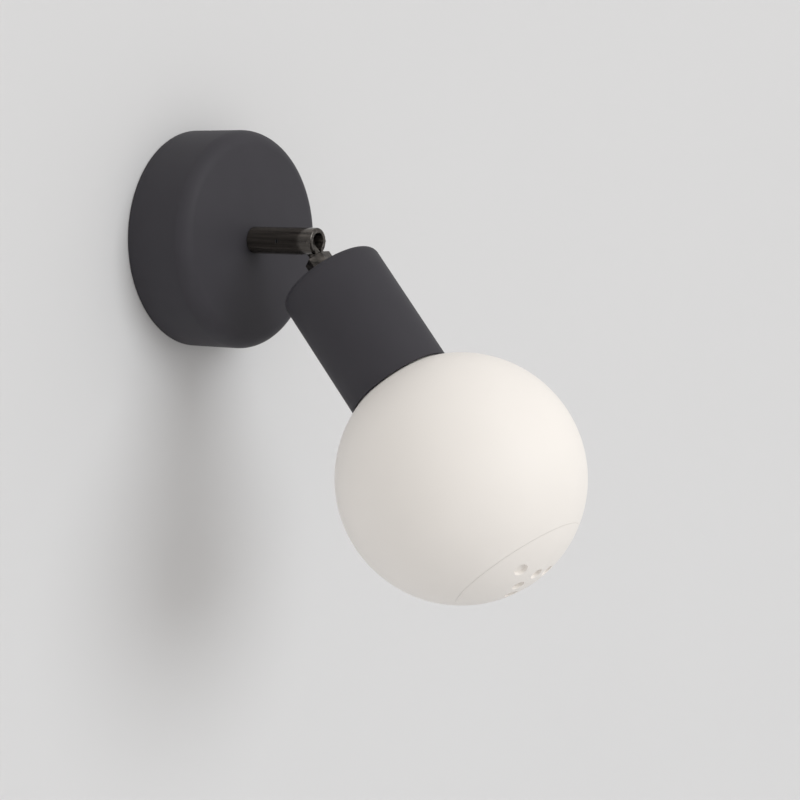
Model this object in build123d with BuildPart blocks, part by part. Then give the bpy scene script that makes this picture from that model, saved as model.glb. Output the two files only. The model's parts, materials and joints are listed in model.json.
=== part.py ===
"""Pivoting spotlight wall light: a round rose on the wall, a short slotted arm, a tilting
knuckle with a lampholder under a cylindrical cover, and a large globe lamp.

Frame: the wall is the plane Y = 0 and the light stands out along -Y, with +Z up.
The origin is the centre of the rose's back. All lengths are in millimetres.
"""

import os
from math import cos, radians, sin, sqrt

from build123d import *

os.makedirs("parts", exist_ok=True)

# ---------------------------------------------------------------- driving dimensions
# fits used all over
running_gap = 0.05        # between faces and round fits that turn on each other
seat_gap = 0.1            # between pieces that are slipped together and stay put

# rose: the round cup against the wall
rose_diameter = 110.0
rose_depth = 36.0
rose_wall = 1.2
rose_edge_radius = 7.5

# wall bracket inside the rose
bracket_width = 18.0
bracket_thickness = 1.5
bracket_tab_depth = 16.0
bracket_bend_radius = 2.0
bracket_side_gap = 1.1    # from the tab's face to the rose's wall
slot_spacing = 60.0
slot_length = 14.0
slot_width = 4.5
cable_hole_diameter = 11.0
rose_screw_diameter = 4.0
rose_screw_length = 7.0
rose_screw_depth = 9.0    # from the wall to the screw's axis
rose_screw_clearance = 0.2
hex_socket_share = 0.5    # of a grub screw's diameter
earth_screw_diameter = 4.0
earth_screw_head_diameter = 7.5
earth_screw_head_height = 2.4
earth_screw_drop = 15.0   # below the bracket's centre

# terminal block on the bracket
pole_count = 3
pole_pitch = 9.5
block_height = 14.0
block_depth = 14.0
block_above_centre = 8.0
block_margin = 5.5        # from the outer pole's axis to the block's end
block_edge_radius = 1.0
insert_diameter = 5.2
insert_bore = 3.2
insert_screw_spacing = 7.0
terminal_screw_diameter = 3.0
terminal_screw_recess = 1.5
block_screw_diameter = 2.6
block_screw_head_diameter = 4.2
block_screw_head_height = 1.5

# arm: a tube with a threaded nipple that turns in the rose
arm_diameter = 13.6
arm_reach = 39.6          # from the rose's face to the open end
arm_bore = 8.5
arm_rim_radius = 1.0
arm_rim_inner_radius = 0.3
nipple_diameter = 10.0
nipple_bore = 6.8
nipple_tail = 11.0        # from the rose's face back into the rose
nipple_setback = 10.05    # from the tilt axis back to the nipple's end in the tube
nipple_flat_width = 8.8
bush_diameter = 12.0
bush_flange_diameter = 13.0
bush_flange_thickness = 0.4
arm_grub_diameter = 2.0
arm_grub_setback = 3.05   # from the nipple's end
arm_grub_slot = 0.5

# swivel stop and friction stack behind the rose's face
stop_washer_diameter = 18.0
stop_washer_thickness = 1.0
stop_tab_reach = 14.0
stop_tab_width = 3.0
stop_lug_diameter = 2.4
stop_lug_height = 2.4
stop_lug_radius = 12.0
spring_washer_diameter = 17.0
spring_washer_thickness = 0.6
spring_washer_height = 1.2
lock_nut_width = 14.0
lock_nut_thickness = 2.5
lock_nut_count = 2

# tilting knuckle
pivot_setback = 7.6       # from the tube's open end back to the tilt axis
head_tilt = 50.7          # degrees below straight out, as it hangs at rest
ball_diameter = 8.4
neck_thickness = 4.8
neck_width = 6.4
slot_side_gap = 0.2       # between the neck and the tube's slot, each side
hexagon_width = 12.0
hexagon_start = 10.5      # from the tilt axis, along the head
hexagon_chamfer = 0.5
stem_diameter = 10.0
stem_length = 12.0
stem_bore = 6.8
stem_bore_start = 13.0
lead_passage_thickness = 2.3
lead_passage_width = 4.2
pivot_pin_diameter = 2.5
pivot_pin_clearance = 0.03
pivot_pin_inner_reach = 1.65
rim_rivet_diameter = 1.8
rim_rivet_head_diameter = 2.4
rim_rivet_head_height = 0.35
rim_rivet_setback = 1.6   # from the open end
rim_rivet_inner_reach = 3.5

# sprung seat that presses on the knuckle's ball
seat_bore = 5.2
seat_length = 3.2
spring_wire = 0.7
spring_turns = 2

# cables
cable_diameter = 6.0
core_diameter = 1.9
core_spacing = 1.94
jacket_projection = 1.05  # beyond the nipple, where the jacket is stripped
cable_joint_gap = 0.2
rose_lead_run = 5.3       # from the block's inserts out to the cable's stripped end
rose_core_bend_radius = 3.4
rose_core_insertion = 5.0
cord_grip_diameter = 13.0
cord_grip_length = 6.0
cord_grip_setback = 1.0   # from the cable's stripped end
grip_screw_diameter = 2.5
lead_bend_diameter = 4.0
lead_bend_clearance = 0.15
head_core_bend_radius = 2.6
head_core_insertion = 2.5

# lampholder cover
cover_diameter = 53.2
cover_wall = 1.2
cover_start = 21.8        # from the tilt axis to the cover's top
cover_end = 88.5
cover_edge_radius = 4.0
cover_rim_radius = 0.3
cover_hole_clearance = 0.1
star_washer_diameter = 17.0
star_washer_thickness = 0.8
star_washer_notches = 12
star_washer_notch = 1.2

# lampholder
holder_diameter = 40.0
holder_wall = 1.1
holder_length = 55.2
holder_mouth_thickness = 2.0
holder_mouth_bore = 29.2
holder_body_wall = 2.3
dome_top_diameter = 18.0
dome_height = 10.7
dome_axial_wall = 3.2
dome_boss_diameter = 16.0
dome_boss_length = 10.0
dome_skirt_length = 3.0
dome_spigot_length = 8.0
dome_spigot_wall = 1.7
dome_grub_diameter = 3.0
dome_grub_length = 4.0
dome_grub_place = 6.0     # from the dome's top
carrier_thickness = 5.5
carrier_collar_diameter = 33.2
socket_shell_wall = 0.7
socket_shell_setback = 1.0
terminal_height = 4.5
terminal_width = 6.0
terminal_spread = 9.5     # from the head's axis to each terminal
terminal_hole_diameter = 2.8
terminal_rivet_diameter = 2.4
holder_screw_diameter = 2.5
holder_screw_reach = 4.2
contact_thickness = 0.6
contact_width = 6.0
contact_rise = 1.1
contact_tongue = 5.0      # width of the raised middle
contact_ramp = 2.5
contact_overlap = 2.0     # beyond the terminal's rivet

# lamp cap and socket thread (27 mm Edison screw)
thread_pitch = 3.629
cap_crest_diameter = 26.2
cap_root_diameter = 24.26
socket_root_diameter = 27.0
socket_crest_diameter = 24.9
cap_thread_turns = 4
socket_thread_turns = 3.25
cap_ridge_base = 1.9
cap_ridge_top = 0.8
socket_ridge_base = 1.3
socket_ridge_top = 0.6
ridge_sink = 0.15
cap_thread_start = 60.6   # from the tilt axis
cap_wall = 0.5
cap_shoulder = 1.3
cap_mouth_diameter = 21.8
cap_flare_diameter = 26.4
cap_flare_length = 2.0

# lamp
lamp_seat_gap = 0.3       # between the lamp's tip and the centre contact
tip_diameter = 9.5
tip_height = 1.5
tip_dome = 1.0
insulator_height = 3.0
insulator_tip_diameter = 10.4
insulator_plug_length = 2.8
neck_start = 79.5         # from the tilt axis
neck_start_diameter = 29.0
neck_shoulder_diameter = 44.4
neck_shoulder = 85.0
neck_floor = 81.0
neck_floor_diameter = 25.0
neck_spigot_length = 4.5
neck_spigot_wall = 1.5
globe_diameter = 120.5
globe_wall = 1.8
globe_mouth = 87.8        # from the tilt axis to the globe's cut edge
globe_mouth_diameter = 46.1
heat_sink_diameter = 42.6
heat_sink_thickness = 2.0
heat_sink_ledge = 1.7
board_clearance = 0.4     # from the board's edge to the globe's wall
board_thickness = 1.4
wire_hole_diameter = 4.0
chip_count = 12
chip_size = 2.8
chip_height = 0.7
chip_setback = 4.4        # from the board's edge to the chips' circle
board_screw_count = 3
board_screw_diameter = 2.5
board_screw_head_diameter = 4.4
board_screw_head_height = 1.5
board_screw_circle_diameter = 12.0
driver_width = 17.0
driver_length = 24.0
driver_thickness = 1.2
capacitor_diameter = 8.0
capacitor_length = 12.0
capacitor_place = 3.5     # from the driver board's end nearest the cap
choke_width = 9.0
choke_depth = 6.4
choke_length = 10.0
choke_place = 1.5

# vent cap at the globe's far end
vent_cap_diameter = 69.1
vent_gap = 0.25
vent_spigot_length = 4.0
vent_spigot_wall = 1.4
vent_spigot_overlap = 1.2
vent_ring_count = 6
vent_ring_radius = 10.0
vent_hole_diameter = 6.4
vent_outer_count = 3
vent_outer_radius = 22.0
vent_outer_diameter = 7.0
vent_phase = 149.0        # degrees about the lamp's axis, from +X

# ---------------------------------------------------------------- worked-out places
rose_radius = rose_diameter / 2
rose_inside = rose_depth - rose_wall                # the face's inner side, from the wall
bracket_half_length = rose_radius - rose_wall - bracket_side_gap
block_width = (pole_count - 1) * pole_pitch + 2 * block_margin
block_centre = block_above_centre + block_height / 2
block_front = bracket_thickness + block_depth
insert_depth = bracket_thickness + block_depth / 2

tube_start = rose_depth + bush_flange_thickness + running_gap
tube_end = rose_depth + arm_reach
pivot_reach = tube_end - pivot_setback
arm_radius = arm_diameter / 2
nipple_start = rose_depth - nipple_tail
nipple_end = pivot_reach - nipple_setback
arm_grub_place = nipple_end - arm_grub_setback
cable_jacket_end = nipple_end + jacket_projection
stop_washer_start = rose_inside - running_gap - stop_washer_thickness
spring_washer_start = stop_washer_start - spring_washer_height
rim_rivet_place = tube_end - rim_rivet_setback

ball_radius = ball_diameter / 2
seat_end = pivot_reach - sqrt((ball_radius + running_gap) ** 2 - (seat_bore / 2) ** 2)
seat_start = seat_end - seat_length

rose_cable_start = insert_depth + rose_lead_run
rose_cable_length = nipple_start - cable_joint_gap - rose_cable_start
cord_grip_start = rose_cable_start + cord_grip_setback

cover_inside = cover_start + cover_wall
stem_end = cover_start + stem_length
dome_top = cover_inside + star_washer_thickness
dome_skirt_start = dome_top + dome_height
dome_skirt_end = dome_skirt_start + dome_skirt_length
dome_end = dome_skirt_end + dome_spigot_length
holder_radius = holder_diameter / 2
spigot_radius = holder_radius - holder_wall
dome_inner_radius = spigot_radius - dome_spigot_wall
holder_inner_radius = holder_radius - holder_body_wall
holder_end = dome_top + holder_length
holder_mouth = holder_end - holder_mouth_thickness
carrier_end = dome_end + carrier_thickness
carrier_radius = holder_inner_radius - seat_gap
shell_radius = socket_root_diameter / 2 + socket_shell_wall
shell_start = carrier_end + contact_thickness
shell_end = holder_mouth - socket_shell_setback
socket_thread_start = cap_thread_start - thread_pitch / 2
terminal_top = dome_end - terminal_height

tip_start = carrier_end + contact_thickness + contact_rise + lamp_seat_gap
tip_end = tip_start + tip_height
insulator_start = tip_end + seat_gap
cap_start = insulator_start + insulator_height
cap_end = neck_start - seat_gap
cap_inner_radius = cap_root_diameter / 2 - cap_wall
globe_radius = globe_diameter / 2
globe_inner_radius = globe_radius - globe_wall
globe_mouth_radius = globe_mouth_diameter / 2
mouth_height = sqrt(globe_radius ** 2 - globe_mouth_radius ** 2)
globe_centre = globe_mouth + mouth_height
globe_end = globe_centre + globe_radius
board_radius = sqrt(globe_inner_radius ** 2 - mouth_height ** 2) - board_clearance
chip_circle_radius = board_radius - chip_setback
vent_plane = sqrt(globe_radius ** 2 - (vent_cap_diameter / 2) ** 2)
parting = globe_centre + vent_plane
parting_inner_radius = sqrt(globe_inner_radius ** 2 - vent_plane ** 2)
heat_sink_start = globe_mouth - heat_sink_thickness
heat_sink_seat_radius = heat_sink_diameter / 2 + seat_gap
board_end = globe_mouth + board_thickness
driver_end = heat_sink_start - seat_gap
driver_start = driver_end - driver_length

# ---------------------------------------------------------------- frames
tilt = radians(head_tilt)
pivot = Vector(0, -pivot_reach, 0)
head_direction = Vector(0, -cos(tilt), -sin(tilt))
head_back = Vector(0, sin(tilt), -cos(tilt))        # square to the head, down and inwards
arm_axis = Axis((0, 0, 0), (0, -1, 0))
head_axis = Axis(pivot, head_direction)

# section planes: x is the radius, y is the distance along the arm or the head
arm_section = Plane(origin=(0, 0, 0), x_dir=(1, 0, 0), z_dir=(0, 0, -1))
head_section = Plane(origin=pivot, x_dir=(1, 0, 0), z_dir=head_back)

# the head's plane of symmetry: x is along the head, y is down and inwards
head_side = Plane(origin=pivot, x_dir=head_direction, z_dir=(1, 0, 0))


def arm_plane(distance, height=0.0, aside=0.0):
    """The plane square to the arm, this far from the wall and facing outwards."""
    return Plane(origin=(aside, -distance, height), x_dir=(1, 0, 0), z_dir=(0, -1, 0))


def head_plane(distance):
    """The plane square to the head, this far from the tilt axis and facing the lamp."""
    return Plane(origin=pivot + head_direction * distance, x_dir=(1, 0, 0), z_dir=head_direction)


def cross_plane(distance, side, reach=0.0):
    """The plane square to X on the arm, on one side (-1 or 1) and facing away from it."""
    return Plane(origin=(side * reach, -distance, 0), x_dir=(0, 0, 1), z_dir=(side, 0, 0))


def ring(plane, outer_diameter, inner_diameter, length):
    """Add a tube, or a disc where the inner diameter is 0, that starts on a plane."""
    with BuildSketch(plane) as profile:
        Circle(outer_diameter / 2)
        if inner_diameter:
            Circle(inner_diameter / 2, mode=Mode.SUBTRACT)
    extrude(profile.sketch, amount=length)


def bore(plane, diameter, length):
    """Cut a round hole that starts on a plane."""
    with BuildSketch(plane) as profile:
        Circle(diameter / 2)
    extrude(profile.sketch, amount=length, mode=Mode.SUBTRACT)


def turned(section, axis, *points):
    """Add the outline of (radius, distance) points, turned about an axis."""
    with BuildSketch(section) as profile:
        with BuildLine():
            Polyline(*points, close=True)
        make_face()
    revolve(profile.sketch, axis)


def helical_ridge(start, turns, base_radius, tip_radius, base_width, tip_width):
    """Add a screw ridge about the head's axis, its foot sunk a little into the wall."""
    height = tip_radius - base_radius
    sink = -ridge_sink if height > 0 else ridge_sink
    centre = pivot + head_direction * start
    with BuildLine() as thread:
        Helix(thread_pitch, thread_pitch * turns, base_radius, centre, head_direction)
    foot = thread.line @ 0
    with BuildSketch(Plane(origin=foot, x_dir=foot - centre, z_dir=thread.line % 0)) as profile:
        with BuildLine():
            Polyline(
                (sink, -base_width / 2),
                (0, -base_width / 2),
                (height, -tip_width / 2),
                (height, tip_width / 2),
                (0, base_width / 2),
                (sink, base_width / 2),
                close=True,
            )
        make_face()
    sweep(profile.sketch, path=thread.line, is_frenet=True)


def core(points, bend_radius):
    """Add an insulated core along a route with rounded bends."""
    with BuildLine() as route:
        FilletPolyline(*points, radius=bend_radius)
    with BuildSketch(Plane(origin=route.line @ 0, z_dir=route.line % 0)) as profile:
        Circle(core_diameter / 2)
    sweep(profile.sketch, path=route.line)


def save(piece, name):
    """Label a finished piece and write its file."""
    piece.part.label = name
    export_step(piece.part, f"parts/{name}.step")


# ================================================================ rose and wall side
with BuildPart() as rose_cover:
    with BuildSketch(arm_plane(0)):
        Circle(rose_radius)
    extrude(amount=rose_depth)
    fillet(rose_cover.edges().sort_by(Axis.Y)[0], rose_edge_radius)
    offset(amount=-rose_wall, openings=rose_cover.faces().sort_by(Axis.Y)[-1])
    bore(arm_plane(rose_inside - rose_wall), bush_diameter, 3 * rose_wall)
    with BuildSketch(Plane.XY):
        with Locations((0, -rose_screw_depth)):
            Circle(rose_screw_diameter / 2 + rose_screw_clearance)
    extrude(amount=rose_diameter, both=True, mode=Mode.SUBTRACT)
save(rose_cover, "rose_cover")

# nylon bush that the arm turns in
with BuildPart() as swivel_bush:
    bush_bore = nipple_diameter + 2 * running_gap
    ring(arm_plane(rose_depth), bush_flange_diameter, bush_bore, bush_flange_thickness)
    ring(arm_plane(rose_inside), bush_diameter, bush_bore, rose_wall)
save(swivel_bush, "swivel_bush")

# small stud inside the rose that stops the swivel short of a full turn
with BuildPart() as swivel_stop_lug:
    ring(arm_plane(rose_inside, -stop_lug_radius), stop_lug_diameter, 0, -stop_lug_height)
save(swivel_stop_lug, "swivel_stop_lug")

# steel strap with slots for the wall screws and a tab at each end
with BuildPart() as wall_bracket:
    with BuildSketch(Plane.YZ):
        with Locations((-bracket_tab_depth / 2, 0)):
            Rectangle(bracket_tab_depth, 2 * bracket_half_length)
        with Locations((-bracket_tab_depth / 2 - bracket_thickness, 0)):
            Rectangle(
                bracket_tab_depth,
                2 * (bracket_half_length - bracket_thickness),
                mode=Mode.SUBTRACT,
            )
    extrude(amount=bracket_width / 2, both=True)
    bends = wall_bracket.edges().filter_by(Axis.X).group_by(Axis.Y)[-1]
    fillet(bends, bracket_bend_radius)
    with BuildSketch(arm_plane(0)):
        Circle(cable_hole_diameter / 2)
        with GridLocations(0, slot_spacing, 1, 2):
            SlotOverall(slot_length, slot_width, rotation=90)
        with Locations((0, -earth_screw_drop)):
            Circle(earth_screw_diameter / 2)
        with Locations((pole_pitch / 2, block_centre)):
            Circle(block_screw_diameter / 2)
    extrude(amount=bracket_thickness, mode=Mode.SUBTRACT)
    with BuildSketch(Plane.XY):
        with Locations((0, -rose_screw_depth)):
            Circle(rose_screw_diameter / 2)
    extrude(amount=rose_radius, both=True, mode=Mode.SUBTRACT)
save(wall_bracket, "wall_bracket")

# two grub screws that hold the rose on the bracket's tabs
with BuildPart() as rose_side_screws:
    for up in (1, -1):
        outer_end = Plane(
            origin=(0, -rose_screw_depth, up * (rose_radius - seat_gap)),
            x_dir=(1, 0, 0),
            z_dir=(0, 0, -up),
        )
        ring(outer_end, rose_screw_diameter, 0, rose_screw_length)
        with BuildSketch(outer_end):
            RegularPolygon(hex_socket_share * rose_screw_diameter / 2, 6, major_radius=False)
        extrude(amount=rose_screw_diameter / 2, mode=Mode.SUBTRACT)
save(rose_side_screws, "rose_side_screws")

with BuildPart() as earth_screw:
    earth_place = -earth_screw_drop
    ring(arm_plane(seat_gap, earth_place), earth_screw_diameter, 0, bracket_thickness)
    ring(
        arm_plane(bracket_thickness, earth_place),
        earth_screw_head_diameter,
        0,
        earth_screw_head_height,
    )
    with BuildSketch(arm_plane(bracket_thickness + earth_screw_head_height, earth_place)):
        Rectangle(earth_screw_head_diameter / 2, earth_screw_head_diameter / 8)
        Rectangle(earth_screw_head_diameter / 8, earth_screw_head_diameter / 2)
    extrude(amount=-earth_screw_head_height / 2, mode=Mode.SUBTRACT)
save(earth_screw, "earth_screw")

with BuildPart() as terminal_block:
    with BuildSketch(arm_plane(bracket_thickness, block_centre)):
        RectangleRounded(block_width, block_height, block_edge_radius)
        with Locations((pole_pitch / 2, 0)):
            Circle(block_screw_diameter / 2, mode=Mode.SUBTRACT)
    extrude(amount=block_depth)
    with BuildSketch(Plane.XY.offset(block_above_centre)):
        with Locations((0, -insert_depth)):
            with GridLocations(pole_pitch, 0, pole_count, 1):
                Circle(insert_diameter / 2)
    extrude(amount=block_height, mode=Mode.SUBTRACT)
    with BuildSketch(arm_plane(insert_depth, block_centre)):
        with GridLocations(pole_pitch, insert_screw_spacing, pole_count, 2):
            Circle(terminal_screw_diameter / 2)
    extrude(amount=block_depth, mode=Mode.SUBTRACT)
    with BuildSketch(arm_plane(block_front - block_screw_head_height, block_centre)):
        with Locations((pole_pitch / 2, 0)):
            Circle(block_screw_head_diameter / 2)
    extrude(amount=block_screw_head_height, mode=Mode.SUBTRACT)
save(terminal_block, "terminal_block")

# screw between two poles that holds the block on the bracket
with BuildPart() as block_screw:
    head_place = block_front - block_screw_head_height
    ring(
        arm_plane(seat_gap, block_centre, pole_pitch / 2),
        block_screw_diameter,
        0,
        head_place - seat_gap,
    )
    ring(
        arm_plane(head_place, block_centre, pole_pitch / 2),
        block_screw_head_diameter,
        0,
        block_screw_head_height - seat_gap,
    )
save(block_screw, "block_screw")

with BuildPart() as terminal_inserts:
    with BuildSketch(Plane.XY.offset(block_above_centre)):
        with Locations((0, -insert_depth)):
            with GridLocations(pole_pitch, 0, pole_count, 1):
                Circle(insert_diameter / 2)
                Circle(insert_bore / 2, mode=Mode.SUBTRACT)
    extrude(amount=block_height)
    with BuildSketch(arm_plane(insert_depth, block_centre)):
        with GridLocations(pole_pitch, insert_screw_spacing, pole_count, 2):
            Circle(terminal_screw_diameter / 2)
    extrude(amount=block_depth, mode=Mode.SUBTRACT)
save(terminal_inserts, "terminal_inserts")

with BuildPart() as terminal_screws:
    screw_foot = insert_depth + core_diameter / 2 + seat_gap
    screw_head = block_front - terminal_screw_recess
    with BuildSketch(arm_plane(screw_foot, block_centre)):
        with GridLocations(pole_pitch, insert_screw_spacing, pole_count, 2):
            Circle(terminal_screw_diameter / 2)
    extrude(amount=screw_head - screw_foot)
    with BuildSketch(arm_plane(screw_head, block_centre)):
        with GridLocations(pole_pitch, insert_screw_spacing, pole_count, 2):
            Rectangle(terminal_screw_diameter, terminal_screw_diameter / 5)
    extrude(amount=-terminal_screw_diameter / 3, mode=Mode.SUBTRACT)
save(terminal_screws, "terminal_screws")

# sheathed cable inside the rose, on the arm's axis so that the arm can turn about it
with BuildPart() as rose_cable:
    ring(arm_plane(rose_cable_start), cable_diameter, 0, rose_cable_length)
save(rose_cable, "rose_cable")

with BuildPart() as cord_grip:
    ring(arm_plane(cord_grip_start), cord_grip_diameter, cable_diameter, cord_grip_length)
    grip_middle = cord_grip_start + cord_grip_length / 2
    bore(cross_plane(grip_middle, 1), grip_screw_diameter, cord_grip_diameter)
save(cord_grip, "cord_grip")

with BuildPart() as grip_screw:
    grip_reach = cord_grip_diameter / 2 - cable_diameter / 2
    ring(cross_plane(grip_middle, 1, cable_diameter / 2), grip_screw_diameter, 0, grip_reach)
save(grip_screw, "grip_screw")

# three cores from the stripped cable to the terminal block
with BuildPart() as rose_leads:
    for pole in (-1, 0, 1):
        pole_place = pole * pole_pitch
        setback = abs(pole) * core_diameter / 2
        start = (pole * core_spacing, setback - rose_cable_start, 0)
        corner = (pole_place, -insert_depth, 0)
        end = (pole_place, -insert_depth, block_above_centre + rose_core_insertion)
        core((start, corner, end), rose_core_bend_radius)
save(rose_leads, "rose_leads")

# ================================================================ arm
with BuildPart() as arm_tube:
    turned(
        arm_section,
        arm_axis,
        (nipple_diameter / 2, tube_start),
        (arm_radius, tube_start),
        (arm_radius, tube_end),
        (arm_bore / 2, tube_end),
        (arm_bore / 2, nipple_end),
        (nipple_diameter / 2, nipple_end),
    )
    rim_edges = arm_tube.edges().filter_by(GeomType.CIRCLE).group_by(Axis.Y)[0]
    fillet(rim_edges.sort_by(SortBy.RADIUS)[-1], arm_rim_radius)
    rim_edges = arm_tube.edges().filter_by(GeomType.CIRCLE).group_by(Axis.Y)[0]
    fillet(rim_edges.sort_by(SortBy.RADIUS)[0], arm_rim_inner_radius)
    # the slot in the underside that the knuckle's neck swings down through
    slot_radius = neck_thickness / 2 + slot_side_gap
    slot_turn = pivot_reach - (neck_width - neck_thickness) / 2
    slot_run = tube_end + slot_radius - slot_turn
    with BuildSketch(Plane.XY):
        with Locations((0, -slot_turn)):
            Circle(slot_radius)
        with Locations((0, -slot_turn - slot_run / 2)):
            Rectangle(2 * slot_radius, slot_run)
    extrude(amount=-arm_diameter, mode=Mode.SUBTRACT)
    for side in (-1, 1):
        bore(cross_plane(pivot_reach, side), pivot_pin_diameter, arm_diameter)
        bore(cross_plane(rim_rivet_place, side), rim_rivet_diameter, arm_diameter)
    bore(cross_plane(arm_grub_place, -1), arm_grub_diameter, arm_diameter)
save(arm_tube, "arm_tube")

# hollow threaded nipple with two flats where the stop washer sits
with BuildPart() as arm_nipple:
    ring(arm_plane(nipple_start), nipple_diameter, nipple_bore, nipple_end - nipple_start)
    with BuildSketch(arm_plane(nipple_start)):
        Rectangle(2 * nipple_diameter, 2 * nipple_diameter)
        Rectangle(nipple_flat_width, 2 * nipple_diameter, mode=Mode.SUBTRACT)
    extrude(amount=rose_inside - nipple_start, mode=Mode.SUBTRACT)
save(arm_nipple, "arm_nipple")

# slotted grub screw that locks the nipple in the tube
with BuildPart() as arm_grub_screw:
    grub_length = arm_radius - nipple_diameter / 2 - seat_gap
    grub_head = nipple_diameter / 2 + grub_length
    ring(cross_plane(arm_grub_place, -1, nipple_diameter / 2), arm_grub_diameter, 0, grub_length)
    with BuildSketch(cross_plane(arm_grub_place, -1, grub_head)):
        Rectangle(arm_grub_diameter, arm_grub_slot)
    extrude(amount=-arm_grub_slot, mode=Mode.SUBTRACT)
save(arm_grub_screw, "arm_grub_screw")

# keyed washer with a tab that meets the stop lug at either end of the swivel
with BuildPart() as stop_washer:
    with BuildSketch(arm_plane(stop_washer_start)):
        Circle(stop_washer_diameter / 2)
        with Locations((0, stop_tab_reach / 2)):
            Rectangle(stop_tab_width, stop_tab_reach)
    extrude(amount=stop_washer_thickness)
    with BuildSketch(arm_plane(stop_washer_start)):
        Circle(nipple_diameter / 2 + running_gap)
        Rectangle(
            nipple_flat_width + 2 * running_gap,
            2 * nipple_diameter,
            mode=Mode.INTERSECT,
        )
    extrude(amount=stop_washer_thickness, mode=Mode.SUBTRACT)
save(stop_washer, "stop_washer")

# coned spring washer that gives the swivel its friction
with BuildPart() as spring_washer:
    spring_bore_radius = nipple_diameter / 2 + seat_gap
    turned(
        arm_section,
        arm_axis,
        (spring_washer_diameter / 2, stop_washer_start),
        (spring_washer_diameter / 2, stop_washer_start - spring_washer_thickness),
        (spring_bore_radius, spring_washer_start),
        (spring_bore_radius, spring_washer_start + spring_washer_thickness),
    )
save(spring_washer, "spring_washer")

with BuildPart() as lock_nuts:
    for nut in range(lock_nut_count):
        nut_start = spring_washer_start - (nut + 1) * (lock_nut_thickness + running_gap)
        with BuildSketch(arm_plane(nut_start)):
            RegularPolygon(lock_nut_width / 2, 6, major_radius=False)
            Circle(nipple_diameter / 2, mode=Mode.SUBTRACT)
        extrude(amount=lock_nut_thickness)
save(lock_nuts, "lock_nuts")

# pins ground flush with the tube; the knuckle's ball turns on their inner ends
with BuildPart() as pivot_pins:
    for side in (-1, 1):
        ring(
            cross_plane(pivot_reach, side, pivot_pin_inner_reach),
            pivot_pin_diameter,
            0,
            arm_radius,
        )
    with BuildSketch(arm_plane(pivot_reach - arm_radius)):
        Circle(arm_radius)
    extrude(amount=arm_diameter, mode=Mode.INTERSECT)
save(pivot_pins, "pivot_pins")

# round-headed rivets at the rim; their ends keep the ball from leaving the bore
with BuildPart() as rim_rivets:
    for side in (-1, 1):
        ring(
            cross_plane(rim_rivet_place, side, arm_radius - rim_rivet_head_height),
            rim_rivet_head_diameter,
            0,
            2 * rim_rivet_head_height,
        )
    crowns = rim_rivets.edges().filter_by(GeomType.CIRCLE)
    fillet([edge for edge in crowns if abs(edge.center().X) > arm_radius], rim_rivet_head_height * 0.8)
    with BuildSketch(arm_plane(pivot_reach)):
        Circle(arm_radius)
    extrude(amount=arm_diameter, mode=Mode.SUBTRACT)
    for side in (-1, 1):
        ring(
            cross_plane(rim_rivet_place, side, rim_rivet_inner_reach),
            rim_rivet_diameter,
            0,
            arm_radius - rim_rivet_inner_reach,
        )
save(rim_rivets, "rim_rivets")

# nylon seat behind the ball
with BuildPart() as ball_seat:
    ring(arm_plane(seat_start), arm_bore - 2 * seat_gap, seat_bore, seat_length)
save(ball_seat, "ball_seat")

# coil spring that presses the seat on the ball
with BuildPart() as seat_spring:
    coil_radius = arm_bore / 2 - seat_gap - spring_wire / 2
    coil_start = nipple_end + running_gap + spring_wire / 2
    coil_height = seat_start - running_gap - spring_wire / 2 - coil_start
    with BuildLine() as coil:
        Helix(
            coil_height / spring_turns,
            coil_height,
            coil_radius,
            (0, -coil_start, 0),
            (0, -1, 0),
        )
    with BuildSketch(Plane(origin=coil.line @ 0, z_dir=coil.line % 0)):
        Circle(spring_wire / 2)
    sweep(path=coil.line, is_frenet=True)
save(seat_spring, "seat_spring")

# the jacket runs through the nipple; two cores go on to the tilt axis
with BuildPart() as arm_cable:
    ring(arm_plane(nipple_start), cable_diameter, 0, cable_jacket_end - nipple_start)
save(arm_cable, "arm_cable")

with BuildPart() as arm_leads:
    with BuildSketch(arm_plane(cable_jacket_end)):
        with GridLocations(0, core_spacing, 1, 2):
            Circle(core_diameter / 2)
    extrude(amount=pivot_reach - lead_bend_diameter / 2 - lead_bend_clearance - cable_jacket_end)
save(arm_leads, "arm_leads")

# ================================================================ head
# one turned piece: ball, flattened neck, hexagon and threaded stem, hollow for the leads
with BuildPart() as knuckle:
    with Locations(pivot):
        Sphere(ball_radius)
    with BuildSketch(head_plane(0)):
        SlotOverall(neck_width, neck_thickness, rotation=90)
    extrude(amount=hexagon_start)
    with BuildSketch(head_plane(hexagon_start)):
        RegularPolygon(hexagon_width / 2, 6, major_radius=False)
    extrude(amount=cover_start - hexagon_start)
    hexagon_top = knuckle.faces().filter_by(head_axis).sort_by(head_axis)[0]
    chamfer(hexagon_top.outer_wire().edges(), hexagon_chamfer)
    ring(head_plane(cover_start), stem_diameter, 0, stem_length)
    with BuildSketch(head_plane(0)):
        Rectangle(lead_passage_thickness, lead_passage_width)
    extrude(amount=stem_bore_start, mode=Mode.SUBTRACT)
    bore(head_plane(stem_bore_start), stem_bore, stem_end - stem_bore_start)
    # open behind the ball, so that the leads pass at every tilt
    passage = lead_passage_width / 2
    with BuildSketch(head_side):
        with Locations(((passage - ball_diameter) / 2, (ball_diameter - passage) / 2)):
            Rectangle(ball_diameter + passage, ball_diameter + passage)
    extrude(amount=lead_passage_thickness / 2, both=True, mode=Mode.SUBTRACT)
    for side in (-1, 1):
        bore(
            cross_plane(pivot_reach, side, pivot_pin_inner_reach - running_gap),
            pivot_pin_diameter + 2 * pivot_pin_clearance,
            ball_diameter,
        )
save(knuckle, "knuckle")

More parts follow.
